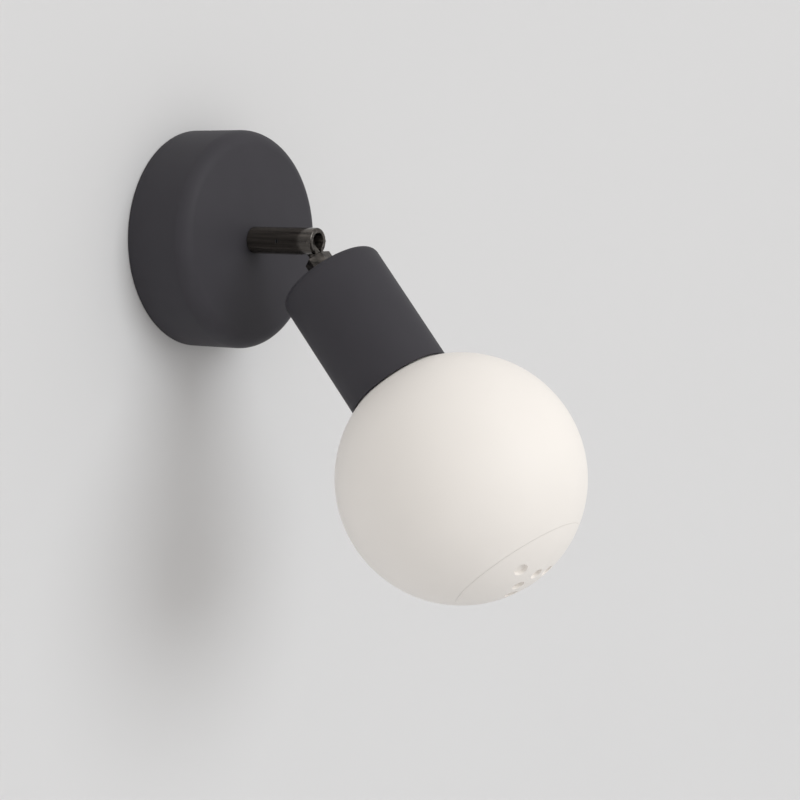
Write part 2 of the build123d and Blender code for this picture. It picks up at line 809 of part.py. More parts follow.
# two cores from the tilt axis to the lampholder, on a rounded bend at the axis
with BuildPart() as head_leads:
    with BuildSketch(head_side):
        Circle(lead_bend_diameter / 2)
    extrude(amount=core_diameter / 2, both=True)
    for side in (-1, 1):
        inner = head_axis.position + head_back * (side * core_spacing / 2)
        outer = head_axis.position + head_back * (side * terminal_spread)
        turn_in = stem_end + head_core_bend_radius
        turn_out = terminal_top - head_core_bend_radius / 2
        core(
            (
                inner,
                inner + head_direction * turn_in,
                outer + head_direction * turn_out,
                outer + head_direction * (terminal_top + head_core_insertion),
            ),
            head_core_bend_radius,
        )
save(head_leads, "head_leads")

# cylindrical cup clamped between the hexagon and the lampholder's dome
with BuildPart() as lampholder_cover:
    ring(head_plane(cover_start), cover_diameter, 0, cover_end - cover_start)
    fillet(lampholder_cover.edges().sort_by(head_axis)[0], cover_edge_radius)
    offset(amount=-cover_wall, openings=lampholder_cover.faces().sort_by(head_axis)[-1])
    cover_rim = lampholder_cover.faces().sort_by(head_axis)[-1]
    fillet(cover_rim.edges(), cover_rim_radius)
    bore(
        head_plane(cover_start - cover_wall),
        stem_diameter + 2 * cover_hole_clearance,
        3 * cover_wall,
    )
save(lampholder_cover, "lampholder_cover")

with BuildPart() as star_washer:
    with BuildSketch(head_plane(cover_inside)):
        Circle(star_washer_diameter / 2)
        Circle(stem_diameter / 2 + seat_gap, mode=Mode.SUBTRACT)
        with PolarLocations(star_washer_diameter / 2, star_washer_notches):
            Rectangle(2 * star_washer_notch, star_washer_notch, mode=Mode.SUBTRACT)
    extrude(amount=star_washer_thickness)
save(star_washer, "star_washer")

# screwed dome of the lampholder, with the threaded boss inside
with BuildPart() as holder_dome:
    dome_slope = dome_height / (holder_radius - dome_top_diameter / 2)
    boss_radius = dome_boss_diameter / 2
    boss_offset = (boss_radius - dome_top_diameter / 2) * dome_slope + dome_axial_wall
    skirt_offset = (dome_inner_radius - dome_top_diameter / 2) * dome_slope + dome_axial_wall
    turned(
        head_section,
        head_axis,
        (stem_diameter / 2, dome_top),
        (dome_top_diameter / 2, dome_top),
        (holder_radius, dome_skirt_start),
        (holder_radius, dome_skirt_end),
        (spigot_radius, dome_skirt_end),
        (spigot_radius, dome_end),
        (dome_inner_radius, dome_end),
        (dome_inner_radius, dome_top + skirt_offset),
        (boss_radius, dome_top + boss_offset),
        (boss_radius, dome_top + dome_boss_length),
        (stem_diameter / 2, dome_top + dome_boss_length),
    )
    grub_place = pivot + head_direction * (dome_top + dome_grub_place)
    bore(
        Plane(origin=grub_place, x_dir=head_direction, z_dir=(1, 0, 0)),
        dome_grub_diameter,
        holder_radius,
    )
save(holder_dome, "holder_dome")

with BuildPart() as dome_grub_screw:
    grub_start = Plane(
        origin=grub_place + Vector(stem_diameter / 2, 0, 0),
        x_dir=head_direction,
        z_dir=(1, 0, 0),
    )
    ring(grub_start, dome_grub_diameter, 0, dome_grub_length)
save(dome_grub_screw, "dome_grub_screw")

with BuildPart() as holder_body:
    turned(
        head_section,
        head_axis,
        (spigot_radius, dome_skirt_end),
        (holder_radius, dome_skirt_end),
        (holder_radius, holder_end),
        (holder_mouth_bore / 2, holder_end),
        (holder_mouth_bore / 2, holder_mouth),
        (holder_inner_radius, holder_mouth),
        (holder_inner_radius, dome_end),
        (spigot_radius, dome_end),
    )
save(holder_body, "holder_body")

# ceramic disc and collar that carry the contacts and the threaded shell
terminal_places = [
    pivot + head_back * (side * terminal_spread) + head_direction * terminal_top
    for side in (-1, 1)
]

with BuildPart() as contact_carrier:
    ring(head_plane(dome_end), 2 * carrier_radius, 0, carrier_thickness)
    collar_length = holder_mouth - seat_gap - carrier_end
    collar_bore = 2 * (shell_radius + seat_gap)
    ring(head_plane(carrier_end), carrier_collar_diameter, collar_bore, collar_length)
    with BuildSketch(head_plane(dome_end)):
        with GridLocations(0, 2 * terminal_spread, 1, 2):
            Circle(terminal_rivet_diameter / 2)
    extrude(amount=carrier_thickness, mode=Mode.SUBTRACT)
save(contact_carrier, "contact_carrier")

# brass terminals, each riveted through the carrier
with BuildPart() as holder_terminals:
    with BuildSketch(head_plane(terminal_top)):
        with GridLocations(0, 2 * terminal_spread, 1, 2):
            Rectangle(terminal_width, terminal_width)
            Circle(terminal_hole_diameter / 2, mode=Mode.SUBTRACT)
    extrude(amount=terminal_height)
    with BuildSketch(head_plane(terminal_top + terminal_height - contact_thickness)):
        with GridLocations(0, 2 * terminal_spread, 1, 2):
            Circle(terminal_hole_diameter / 2)
    extrude(amount=contact_thickness)
    with BuildSketch(head_plane(dome_end)):
        with GridLocations(0, 2 * terminal_spread, 1, 2):
            Circle(terminal_rivet_diameter / 2)
    extrude(amount=carrier_thickness)
    for place in terminal_places:
        side_hole = Plane(
            origin=place + head_direction * (terminal_height / 2),
            x_dir=head_direction,
            z_dir=(1, 0, 0),
        )
        bore(side_hole, holder_screw_diameter, terminal_width)
save(holder_terminals, "holder_terminals")

with BuildPart() as holder_terminal_screws:
    screw_inner = core_diameter / 2 + seat_gap
    for place in terminal_places:
        screw_start = Plane(
            origin=place + head_direction * (terminal_height / 2) + Vector(screw_inner, 0, 0),
            x_dir=head_direction,
            z_dir=(1, 0, 0),
        )
        ring(screw_start, holder_screw_diameter, 0, holder_screw_reach - screw_inner)
save(holder_terminal_screws, "holder_terminal_screws")

# sprung strip that presses on the lamp's tip; x runs along the head, y down and inwards
with BuildPart() as centre_contact:
    strip_end = terminal_spread + contact_overlap
    ramp_foot = contact_tongue / 2 + contact_ramp
    with BuildSketch(head_side):
        with BuildLine():
            Polyline(
                (carrier_end, strip_end),
                (carrier_end, ramp_foot),
                (carrier_end + contact_rise, contact_tongue / 2),
                (carrier_end + contact_rise, -contact_tongue / 2),
                (carrier_end + contact_rise + contact_thickness, -contact_tongue / 2),
                (carrier_end + contact_rise + contact_thickness, contact_tongue / 2),
                (carrier_end + contact_thickness, ramp_foot),
                (carrier_end + contact_thickness, strip_end),
                close=True,
            )
        make_face()
    extrude(amount=contact_width / 2, both=True)
save(centre_contact, "centre_contact")

# flat strip from the other terminal to the threaded shell
with BuildPart() as side_contact:
    with BuildSketch(head_plane(carrier_end)):
        with Locations((0, (terminal_spread - contact_overlap + shell_radius) / 2)):
            Rectangle(contact_width, shell_radius - terminal_spread + contact_overlap)
        Circle(shell_radius, mode=Mode.INTERSECT)
    extrude(amount=contact_thickness)
save(side_contact, "side_contact")

with BuildPart() as threaded_shell:
    ring(head_plane(shell_start), 2 * shell_radius, socket_root_diameter, shell_end - shell_start)
    helical_ridge(
        socket_thread_start,
        socket_thread_turns,
        socket_root_diameter / 2,
        socket_crest_diameter / 2,
        socket_ridge_base,
        socket_ridge_top,
    )
save(threaded_shell, "threaded_shell")

# ================================================================ lamp
with BuildPart() as lamp_tip_contact:
    turned(
        head_section,
        head_axis,
        (0, tip_start),
        (tip_diameter / 4, tip_start + tip_dome / 5),
        (tip_diameter / 2, tip_start + tip_dome),
        (tip_diameter / 2, tip_end),
        (0, tip_end),
    )
save(lamp_tip_contact, "lamp_tip_contact")

with BuildPart() as cap_insulator:
    mouth_radius = cap_mouth_diameter / 2 - cap_wall - seat_gap
    plug_radius = cap_inner_radius - seat_gap
    turned(
        head_section,
        head_axis,
        (0, insulator_start),
        (insulator_tip_diameter / 2, insulator_start),
        (mouth_radius, cap_start),
        (mouth_radius, cap_start + cap_wall),
        (plug_radius, cap_start + cap_wall + cap_shoulder),
        (plug_radius, cap_start + insulator_plug_length),
        (0, cap_start + insulator_plug_length),
    )
save(cap_insulator, "cap_insulator")

with BuildPart() as screw_cap:
    cap_root_radius = cap_root_diameter / 2
    flare_radius = cap_flare_diameter / 2
    turned(
        head_section,
        head_axis,
        (cap_mouth_diameter / 2 - cap_wall, cap_start),
        (cap_mouth_diameter / 2, cap_start),
        (cap_root_radius, cap_start + cap_shoulder),
        (cap_root_radius, cap_end - cap_flare_length),
        (flare_radius, cap_end),
        (flare_radius - cap_wall, cap_end),
        (cap_inner_radius, cap_end - cap_flare_length),
        (cap_inner_radius, cap_start + cap_shoulder + cap_wall / 2),
        (cap_mouth_diameter / 2 - cap_wall, cap_start + cap_wall / 2),
    )
    helical_ridge(
        cap_thread_start,
        cap_thread_turns,
        cap_root_radius,
        cap_crest_diameter / 2,
        cap_ridge_base,
        cap_ridge_top,
    )
save(screw_cap, "screw_cap")

# housing between the cap and the globe
with BuildPart() as lamp_neck:
    spigot_outer = cap_inner_radius - seat_gap
    spigot_inner = spigot_outer - neck_spigot_wall
    ledge_radius = heat_sink_seat_radius - heat_sink_ledge
    turned(
        head_section,
        head_axis,
        (spigot_inner, neck_start - neck_spigot_length),
        (spigot_outer, neck_start - neck_spigot_length),
        (spigot_outer, neck_start),
        (neck_start_diameter / 2, neck_start),
        (neck_shoulder_diameter / 2, neck_shoulder),
        (globe_mouth_radius, globe_mouth),
        (heat_sink_seat_radius, globe_mouth),
        (heat_sink_seat_radius, heat_sink_start),
        (ledge_radius, heat_sink_start),
        (neck_floor_diameter / 2, neck_floor),
        (spigot_inner, neck_floor),
    )
save(lamp_neck, "lamp_neck")

with BuildPart() as heat_sink:
    with BuildSketch(head_plane(heat_sink_start)):
        Circle(heat_sink_diameter / 2)
        Circle(wire_hole_diameter / 2, mode=Mode.SUBTRACT)
        with PolarLocations(board_screw_circle_diameter / 2, board_screw_count):
            Circle(board_screw_diameter / 2, mode=Mode.SUBTRACT)
    extrude(amount=heat_sink_thickness)
save(heat_sink, "heat_sink")

with BuildPart() as led_board:
    with BuildSketch(head_plane(globe_mouth)):
        Circle(board_radius)
        Circle(wire_hole_diameter / 2, mode=Mode.SUBTRACT)
        with PolarLocations(board_screw_circle_diameter / 2, board_screw_count):
            Circle(board_screw_diameter / 2, mode=Mode.SUBTRACT)
    extrude(amount=board_thickness)
save(led_board, "led_board")

with BuildPart() as led_chips:
    with BuildSketch(head_plane(board_end)):
        with PolarLocations(chip_circle_radius, chip_count):
            Rectangle(chip_size, chip_size)
    extrude(amount=chip_height)
save(led_chips, "led_chips")

with BuildPart() as board_screws:
    with BuildSketch(head_plane(heat_sink_start)):
        with PolarLocations(board_screw_circle_diameter / 2, board_screw_count):
            Circle(board_screw_diameter / 2)
    extrude(amount=board_end - heat_sink_start)
    with BuildSketch(head_plane(board_end)):
        with PolarLocations(board_screw_circle_diameter / 2, board_screw_count):
            Circle(board_screw_head_diameter / 2)
    extrude(amount=board_screw_head_height)
save(board_screws, "board_screws")

with BuildPart() as driver_board:
    with BuildSketch(head_plane(driver_start)):
        Rectangle(driver_width, driver_thickness)
    extrude(amount=driver_length)
save(driver_board, "driver_board")

with BuildPart() as driver_capacitor:
    with BuildSketch(head_plane(driver_start + capacitor_place)):
        with Locations((0, driver_thickness / 2 + capacitor_diameter / 2)):
            Circle(capacitor_diameter / 2)
    extrude(amount=capacitor_length)
save(driver_capacitor, "driver_capacitor")

with BuildPart() as driver_choke:
    with BuildSketch(head_plane(driver_start + choke_place)):
        with Locations((0, -driver_thickness / 2 - choke_depth / 2)):
            Rectangle(choke_width, choke_depth)
    extrude(amount=choke_length)
save(driver_choke, "driver_choke")

with BuildPart() as globe_diffuser:
    shell_run = parting - vent_gap / 2 - globe_mouth
    with BuildSketch(head_section):
        with Locations((0, globe_centre)):
            Circle(globe_radius)
            Circle(globe_inner_radius, mode=Mode.SUBTRACT)
        with Locations((globe_radius / 2, globe_mouth + shell_run / 2)):
            Rectangle(globe_radius, shell_run, mode=Mode.INTERSECT)
    revolve(axis=head_axis)
save(globe_diffuser, "globe_diffuser")

# perforated cap at the globe's far end, plugged into the globe by a short spigot
with BuildPart() as vent_cap:
    cap_run = globe_end - parting - vent_gap / 2
    spigot_radius_outer = parting_inner_radius - seat_gap
    spigot_length = vent_spigot_length + vent_spigot_overlap
    with BuildSketch(head_section):
        with Locations((0, globe_centre)):
            Circle(globe_radius)
            Circle(globe_inner_radius, mode=Mode.SUBTRACT)
        with Locations((globe_radius / 2, globe_end - cap_run / 2)):
            Rectangle(globe_radius, cap_run, mode=Mode.INTERSECT)
        with Locations((
            spigot_radius_outer - vent_spigot_wall / 2,
            parting - vent_spigot_length + spigot_length / 2,
        )):
            Rectangle(vent_spigot_wall, spigot_length)
    revolve(axis=head_axis)
    with BuildSketch(head_plane(parting)):
        with PolarLocations(vent_ring_radius, vent_ring_count, vent_phase + 180 / vent_ring_count):
            Circle(vent_hole_diameter / 2)
        with PolarLocations(vent_outer_radius, vent_outer_count, vent_phase):
            Circle(vent_outer_diameter / 2)
    extrude(amount=cap_run, mode=Mode.SUBTRACT)
save(vent_cap, "vent_cap")
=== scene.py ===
"""Finishes a pivoting spotlight wall light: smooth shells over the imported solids, a material
for every piece, and a plain studio wall with soft light.
"""

import json
import math

import bmesh
import bpy
from mathutils import Matrix, Vector


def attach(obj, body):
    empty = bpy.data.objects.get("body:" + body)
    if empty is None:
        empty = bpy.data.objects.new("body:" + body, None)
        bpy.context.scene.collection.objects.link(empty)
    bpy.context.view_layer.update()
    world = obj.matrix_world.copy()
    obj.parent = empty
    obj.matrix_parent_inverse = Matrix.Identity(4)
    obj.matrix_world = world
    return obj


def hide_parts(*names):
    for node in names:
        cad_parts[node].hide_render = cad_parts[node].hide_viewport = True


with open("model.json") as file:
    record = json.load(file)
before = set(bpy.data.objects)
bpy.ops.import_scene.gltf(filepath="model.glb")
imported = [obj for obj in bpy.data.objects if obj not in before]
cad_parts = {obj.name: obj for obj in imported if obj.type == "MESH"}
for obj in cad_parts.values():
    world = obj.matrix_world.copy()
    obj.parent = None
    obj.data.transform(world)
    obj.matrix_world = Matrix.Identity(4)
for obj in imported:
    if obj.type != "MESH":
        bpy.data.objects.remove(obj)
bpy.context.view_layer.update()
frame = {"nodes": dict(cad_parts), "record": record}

bl_info = {
    "name": "Pivoting spotlight wall light",
    "version": (1, 0, 0),
    "blender": (4, 5, 0),
    "location": "View3D > Sidebar > Wall light",
    "description": "Builds and finishes a pivoting wall light with a globe lamp",
    "category": "Object",
}

# ---------------------------------------------------------------- places
TILT = math.radians(50.7)
PIVOT = Vector((0, -0.068, 0))
ALONG_HEAD = Vector((0, -math.cos(TILT), -math.sin(TILT)))


def place(origin, across, along):
    """The matrix that puts a piece turned about Z on an axis through a point."""
    beside = along.cross(across)
    turn = Matrix((across, beside, along)).transposed()
    return Matrix.Translation(origin) @ turn.to_4x4()


def head_place(distance):
    """A place on the head's axis, this far from the tilt axis, with Z towards the lamp."""
    return place(PIVOT + ALONG_HEAD * distance, Vector((1, 0, 0)), ALONG_HEAD)


def arm_place(distance, along=-1):
    """A place on the arm's axis, this far from the wall, with Z away from or to the wall."""
    return place(Vector((0, -distance, 0)), Vector((1, 0, 0)), Vector((0, along, 0)))


# ---------------------------------------------------------------- settings
def length(name, description, default):
    """A length that a user can change."""
    return bpy.props.FloatProperty(
        name=name, description=description, default=default,
        min=0.0, unit="LENGTH", subtype="DISTANCE", precision=5,
    )


def colour(name, description, default):
    """A colour that a user can change."""
    return bpy.props.FloatVectorProperty(
        name=name, description=description, default=default,
        min=0.0, max=1.0, size=3, subtype="COLOR",
    )


def amount(name, description, default, top=1.0):
    """A plain share or strength that a user can change."""
    return bpy.props.FloatProperty(
        name=name, description=description, default=default,
        min=0.0, max=top, subtype="FACTOR" if top == 1.0 else "NONE",
    )


def angle(name, description, degrees):
    """An angle that a user can change."""
    return bpy.props.FloatProperty(
        name=name, description=description, default=math.radians(degrees),
        unit="ROTATION", subtype="ANGLE",
    )


def count(name, description, default):
    """A whole number that a user can change."""
    return bpy.props.IntProperty(name=name, description=description, default=default, min=0)


class WallLightRose(bpy.types.PropertyGroup):
    """Sizes of the rose's cup"""

    radius: length("Radius", "Outer radius of the rose", 0.055)
    depth: length("Depth", "From the wall to the rose's face", 0.036)
    edge: length("Edge radius", "Rounding of the rose's front edge", 0.0075)
    wall: length("Wall", "Thickness of the rose's sheet", 0.0012)
    opening: length("Opening", "Radius of the hole for the arm", 0.006)
    screw_depth: length("Screw depth", "From the wall to the side screws", 0.009)
    screw_opening: length("Screw opening", "Radius of the side screws' holes", 0.0022)


class WallLightCover(bpy.types.PropertyGroup):
    """Sizes of the lampholder's cover"""

    radius: length("Radius", "Outer radius of the lampholder's cover", 0.0266)
    start: length("Start", "From the tilt axis to the cover's top", 0.0218)
    depth: length("Depth", "Length of the cover", 0.0667)
    edge: length("Edge radius", "Rounding of the cover's top edge", 0.004)
    wall: length("Wall", "Thickness of the cover's sheet", 0.0012)
    opening: length("Opening", "Radius of the hole for the stem", 0.0051)


class WallLightGlobe(bpy.types.PropertyGroup):
    """Sizes of the globe and of the vented cap at its far end"""

    radius: length("Radius", "Outer radius of the globe", 0.06023)
    wall: length("Wall", "Thickness of the globe", 0.0018)
    centre: length("Centre", "From the tilt axis to the globe's centre", 0.14347)
    mouth: length("Mouth", "From the globe's centre back to its cut edge", 0.05567)
    parting: length("Parting", "From the globe's centre to the vent cap's joint", 0.04936)
    gap: length("Gap", "Width of the joint", 0.00008)
    spigot_radius: length("Spigot radius", "Outer radius of the vent cap's spigot", 0.0312)
    spigot_wall: length("Spigot wall", "Thickness of the spigot", 0.0014)
    spigot_depth: length("Spigot depth", "From the joint to the spigot's inner end", 0.004)
    spigot_rise: length("Spigot rise", "From the joint to the spigot's outer end", 0.0012)
    inner_count: count("Inner vents", "Number of vents in the inner ring", 6)
    inner_ring: length("Inner ring", "Radius of the inner ring of vents", 0.010)
    inner_vent: length("Inner vent", "Radius of a vent in the inner ring", 0.0032)
    outer_count: count("Outer vents", "Number of vents in the outer ring", 3)
    outer_ring: length("Outer ring", "Radius of the outer ring of vents", 0.022)
    outer_vent: length("Outer vent", "Radius of a vent in the outer ring", 0.0035)
    turn: angle("Turn", "Turn of the vents about the lamp's axis", 149.0)
    screen: length("Screen", "Thickness of the fine white screen behind the vents", 0.0004)
    screen_start: length("Screen start", "From the globe's centre to the screen's edge", 0.0522)


class WallLightNipple(bpy.types.PropertyGroup):
    """Sizes of the thread on the arm's nipple"""

    root: length("Root radius", "Radius of the nipple under its thread", 0.0050)
    crest: length("Crest radius", "Outer radius of the thread", 0.00535)
    pitch: length("Pitch", "From one turn of the thread to the next", 0.001)
    start: length("Start", "From the wall to the thread's first turn", 0.0251)
    depth: length("Length", "Length of the threaded end", 0.0022)


class WallLightChips(bpy.types.PropertyGroup):
    """Sizes and place of the light chips"""

    number: count("Chips", "Number of light chips", 12)
    ring: length("Ring", "Radius of the ring of chips", 0.01302)
    size: length("Size", "Side of a chip", 0.0028)
    height: length("Height", "Height of a chip", 0.0007)
    seat: length("Seat", "From the tilt axis to the board's face", 0.0892)


class WallLightFinish(bpy.types.PropertyGroup):
    """Colours of the finishes that show from outside"""

    paint: colour("Paint", "Powder coat of the rose and the cover", (0.0455, 0.0437, 0.0505))
    metal: colour("Metal", "Dark plated metal of the arm and the knuckle", (0.075, 0.067, 0.060))
    opal: colour("Opal", "Matt diffuser of the lamp", (0.908, 0.875, 0.835))
    backdrop: colour("Backdrop", "Studio wall", (0.688, 0.692, 0.70))


class WallLightStage(bpy.types.PropertyGroup):
    """Strength, place and tint of the studio light"""

    key: amount("Key", "Strength of the far soft light, in watts per square metre", 1.08, 20.0)
    key_side: angle("Key side", "Turn of the key to the right of straight on", 5.0)
    key_height: angle("Key height", "Rise of the key above straight on", 22.0)
    key_spread: angle("Key spread", "Angular width of the key, for its soft shadow", 34.0)
    key_tint: colour("Key tint", "Colour of the key", (0.965, 0.985, 1.0))
    fill: amount("Fill", "Power of the lamp behind the wall, in watts", 8.0, 500.0)
    fill_size: length("Fill size", "Side of the lamp behind the wall", 1.4)
    sky: amount("Sky", "Strength of the even light all round", 0.77, 10.0)
    sky_tint: colour("Sky tint", "Colour of the even light", (1.0, 0.965, 0.93))
    sky_seen: colour("Sky seen", "Tone of the sky in the view and in gloss", (0.7, 0.7, 0.695))


# ---------------------------------------------------------------- node helpers
def grow(tree, kind, feeds=None, **settings):
    """Add a node, set it, and feed its sockets with values or with other sockets."""
    node = tree.nodes.new(kind)
    for name, value in settings.items():
        setattr(node, name, value)
    for key, feed in (feeds or {}).items():
        if isinstance(feed, bpy.types.NodeSocket):
            tree.links.new(feed, node.inputs[key])
        else:
            node.inputs[key].default_value = feed
    return node


def worked(tree, operation, *values):
    """The result of a sum on numbers or sockets."""
    return grow(tree, "ShaderNodeMath", dict(enumerate(values)), operation=operation).outputs[0]


def point(tree, x, y, z):
    """A vector from three numbers or sockets."""
    return grow(tree, "ShaderNodeCombineXYZ", {"X": x, "Y": y, "Z": z}).outputs[0]


# ---------------------------------------------------------------- geometry trees
GUIDE = 0.01              # radius of the circle that outlines are carried round
ROUND = 160               # segments of a turned piece
EDGE_STEPS = 10           # segments of a cup's rounded corner
RING_STEPS = 3            # segments of a plain ring's softened corner
ARC_POINTS = 64           # points along each side of a sphere shell's outline
DRILL_SIDES = 48          # sides of a round drill
TURN_STEPS = 64           # segments in one turn of a thread
GEL_SIDES = 32            # sides of a chip's gel pad
CUP_LIP = 0.3             # rounding of a cup's cut edge, as a share of its wall
RING_LIP = 0.2            # rounding of a plain ring's edges, as a share of its wall
DRILL_REACH = 8.0         # length of the drill for a cup's side, in walls
INNER_TURN = math.pi / 6  # turn of the inner ring of vents against the outer ring
THREAD_ROOT = 0.48        # half width of the thread's ridge at its root, in pitches
THREAD_CREST = 0.12       # half width at its crest, as a share of that at its root
THREAD_SUNK = 0.2         # how far the ridge goes into the nipple, as a share of its rise
GEL_SPAN = 0.78           # width of the gel pad, as a share of the chip's
GEL_DEPTH = 0.9           # depth of the gel pad, as a share of the chip's height
GEL_LIFT = 0.05           # how far the pad's middle lies above the chip's, as such a share
WELD = 0.000002           # points nearer than this are joined in a tree


def geometry_tree(name, sizes):
    """A geometry tree with a named input for each size, and those inputs."""
    tree = bpy.data.node_groups.new(name, "GeometryNodeTree")
    tree.interface.new_socket("Geometry", in_out="OUTPUT", socket_type="NodeSocketGeometry")
    tree.interface.new_socket("Material", in_out="INPUT", socket_type="NodeSocketMaterial")
    for size, value in sizes.items():
        kind = "NodeSocketInt" if isinstance(value, int) else "NodeSocketFloat"
        tree.interface.new_socket(size, in_out="INPUT", socket_type=kind)
    return tree, tree.nodes.new("NodeGroupInput").outputs


def close_tree(tree, given, geometry):
    """End a tree in one real mesh with its material."""
    real = grow(tree, "GeometryNodeRealizeInstances", {"Geometry": geometry})
    joined = grow(
        tree, "GeometryNodeMergeByDistance",
        {"Geometry": real.outputs[0], "Distance": WELD},
    )
    finished = grow(
        tree, "GeometryNodeSetMaterial",
        {"Geometry": joined.outputs[0], "Material": given["Material"]},
    )
    grow(tree, "NodeGroupOutput", {"Geometry": finished.outputs[0]})


def carried_round(tree, outline):
    """Carry a closed outline of (radius, height) round the Z axis."""
    guide = grow(
        tree, "GeometryNodeCurvePrimitiveCircle", {"Resolution": ROUND, "Radius": GUIDE},
    )
    return grow(
        tree, "GeometryNodeCurveToMesh",
        {"Curve": guide.outputs[0], "Profile Curve": outline},
    ).outputs[0]


def outline_point(tree, radius, height):
    """A point of an outline, as the guide circle takes it."""
    beyond = worked(tree, "SUBTRACT", radius, GUIDE)
    return point(tree, beyond, worked(tree, "MULTIPLY", height, -1.0), 0.0)


def chosen(tree, kind, choices):
    """One of several values, by the index of the point."""
    switch = grow(tree, "GeometryNodeIndexSwitch", data_type=kind)
    while len(switch.index_switch_items) < len(choices):
        switch.index_switch_items.new()
    tree.links.new(grow(tree, "GeometryNodeInputIndex").outputs[0], switch.inputs["Index"])
    for place_in_row, choice in enumerate(choices):
        socket = switch.inputs[str(place_in_row)]
        if isinstance(choice, bpy.types.NodeSocket):
            tree.links.new(choice, socket)
        else:
            socket.default_value = choice
    return switch.outputs[0]


def rounded_outline(tree, corners, steps):
    """A closed outline of (radius, height, rounding) corners."""
    loop = grow(tree, "GeometryNodeCurvePrimitiveCircle", {"Resolution": len(corners)})
    spots = [outline_point(tree, radius, height) for radius, height, rounding in corners]
    shaped = grow(
        tree, "GeometryNodeSetPosition",
        {"Geometry": loop.outputs[0], "Position": chosen(tree, "VECTOR", spots)},
    )
    roundings = [rounding for radius, height, rounding in corners]
    return grow(
        tree, "GeometryNodeFilletCurve",
        {
            "Curve": shaped.outputs[0], "Count": steps,
            "Radius": chosen(tree, "FLOAT", roundings), "Limit Radius": True,
        },
        mode="POLY",
    ).outputs[0]


def ring_of(tree, piece, number, radius, height, turn, lean):
    """Copies of a piece on a ring about Z, each leaning by an angle about its own X."""
    index = grow(tree, "GeometryNodeInputIndex").outputs[0]
    share = worked(tree, "DIVIDE", index, worked(tree, "MAXIMUM", number, 1))
    angle = worked(tree, "ADD", worked(tree, "MULTIPLY", share, math.tau), turn)
    spot = point(
        tree,
        worked(tree, "MULTIPLY", worked(tree, "COSINE", angle), radius),
        worked(tree, "MULTIPLY", worked(tree, "SINE", angle), radius),
        height,
    )
    spots = grow(tree, "GeometryNodePoints", {"Count": number, "Position": spot})
    copies = grow(
        tree, "GeometryNodeInstanceOnPoints",
        {
            "Points": spots.outputs[0], "Instance": piece,
            "Rotation": point(tree, lean, 0.0, angle),
        },
    )
    return grow(tree, "GeometryNodeRealizeInstances", {"Geometry": copies.outputs[0]}).outputs[0]


def drilled(tree, body, drills):
    """Cut drills from a closed body."""
    return grow(
        tree, "GeometryNodeMeshBoolean", {"Mesh 1": body, "Mesh 2": drills},
        operation="DIFFERENCE", solver="EXACT",
    ).outputs[0]


def drill(tree, radius, depth):
    """A round drill of many sides along Z."""
    return grow(
        tree, "GeometryNodeMeshCylinder",
        {"Vertices": DRILL_SIDES, "Radius": radius, "Depth": depth},
    ).outputs["Mesh"]


def cup_tree(sizes):
    """A deep round cup: its closed end at Z = 0, its rim at Depth, holes in its side."""
    tree, given = geometry_tree("Turned cup", sizes)
    within = worked(tree, "SUBTRACT", given["Radius"], given["Wall"])
    tighter = worked(tree, "SUBTRACT", given["Edge Radius"], given["Wall"])
    lip = worked(tree, "MULTIPLY", given["Wall"], CUP_LIP)
    outline = rounded_outline(
        tree,
        [
            (given["Opening"], 0.0, lip),
            (given["Radius"], 0.0, given["Edge Radius"]),
            (given["Radius"], given["Depth"], lip),
            (within, given["Depth"], lip),
            (within, given["Wall"], tighter),
            (given["Opening"], given["Wall"], lip),
        ],
        EDGE_STEPS,
    )
    reach = worked(tree, "MULTIPLY", given["Wall"], DRILL_REACH)
    holes = ring_of(
        tree, drill(tree, given["Hole Radius"], reach), given["Holes"],
        given["Radius"], given["Hole Height"], math.pi / 2, math.pi / 2,
    )
    close_tree(tree, given, drilled(tree, carried_round(tree, outline), holes))
    return tree


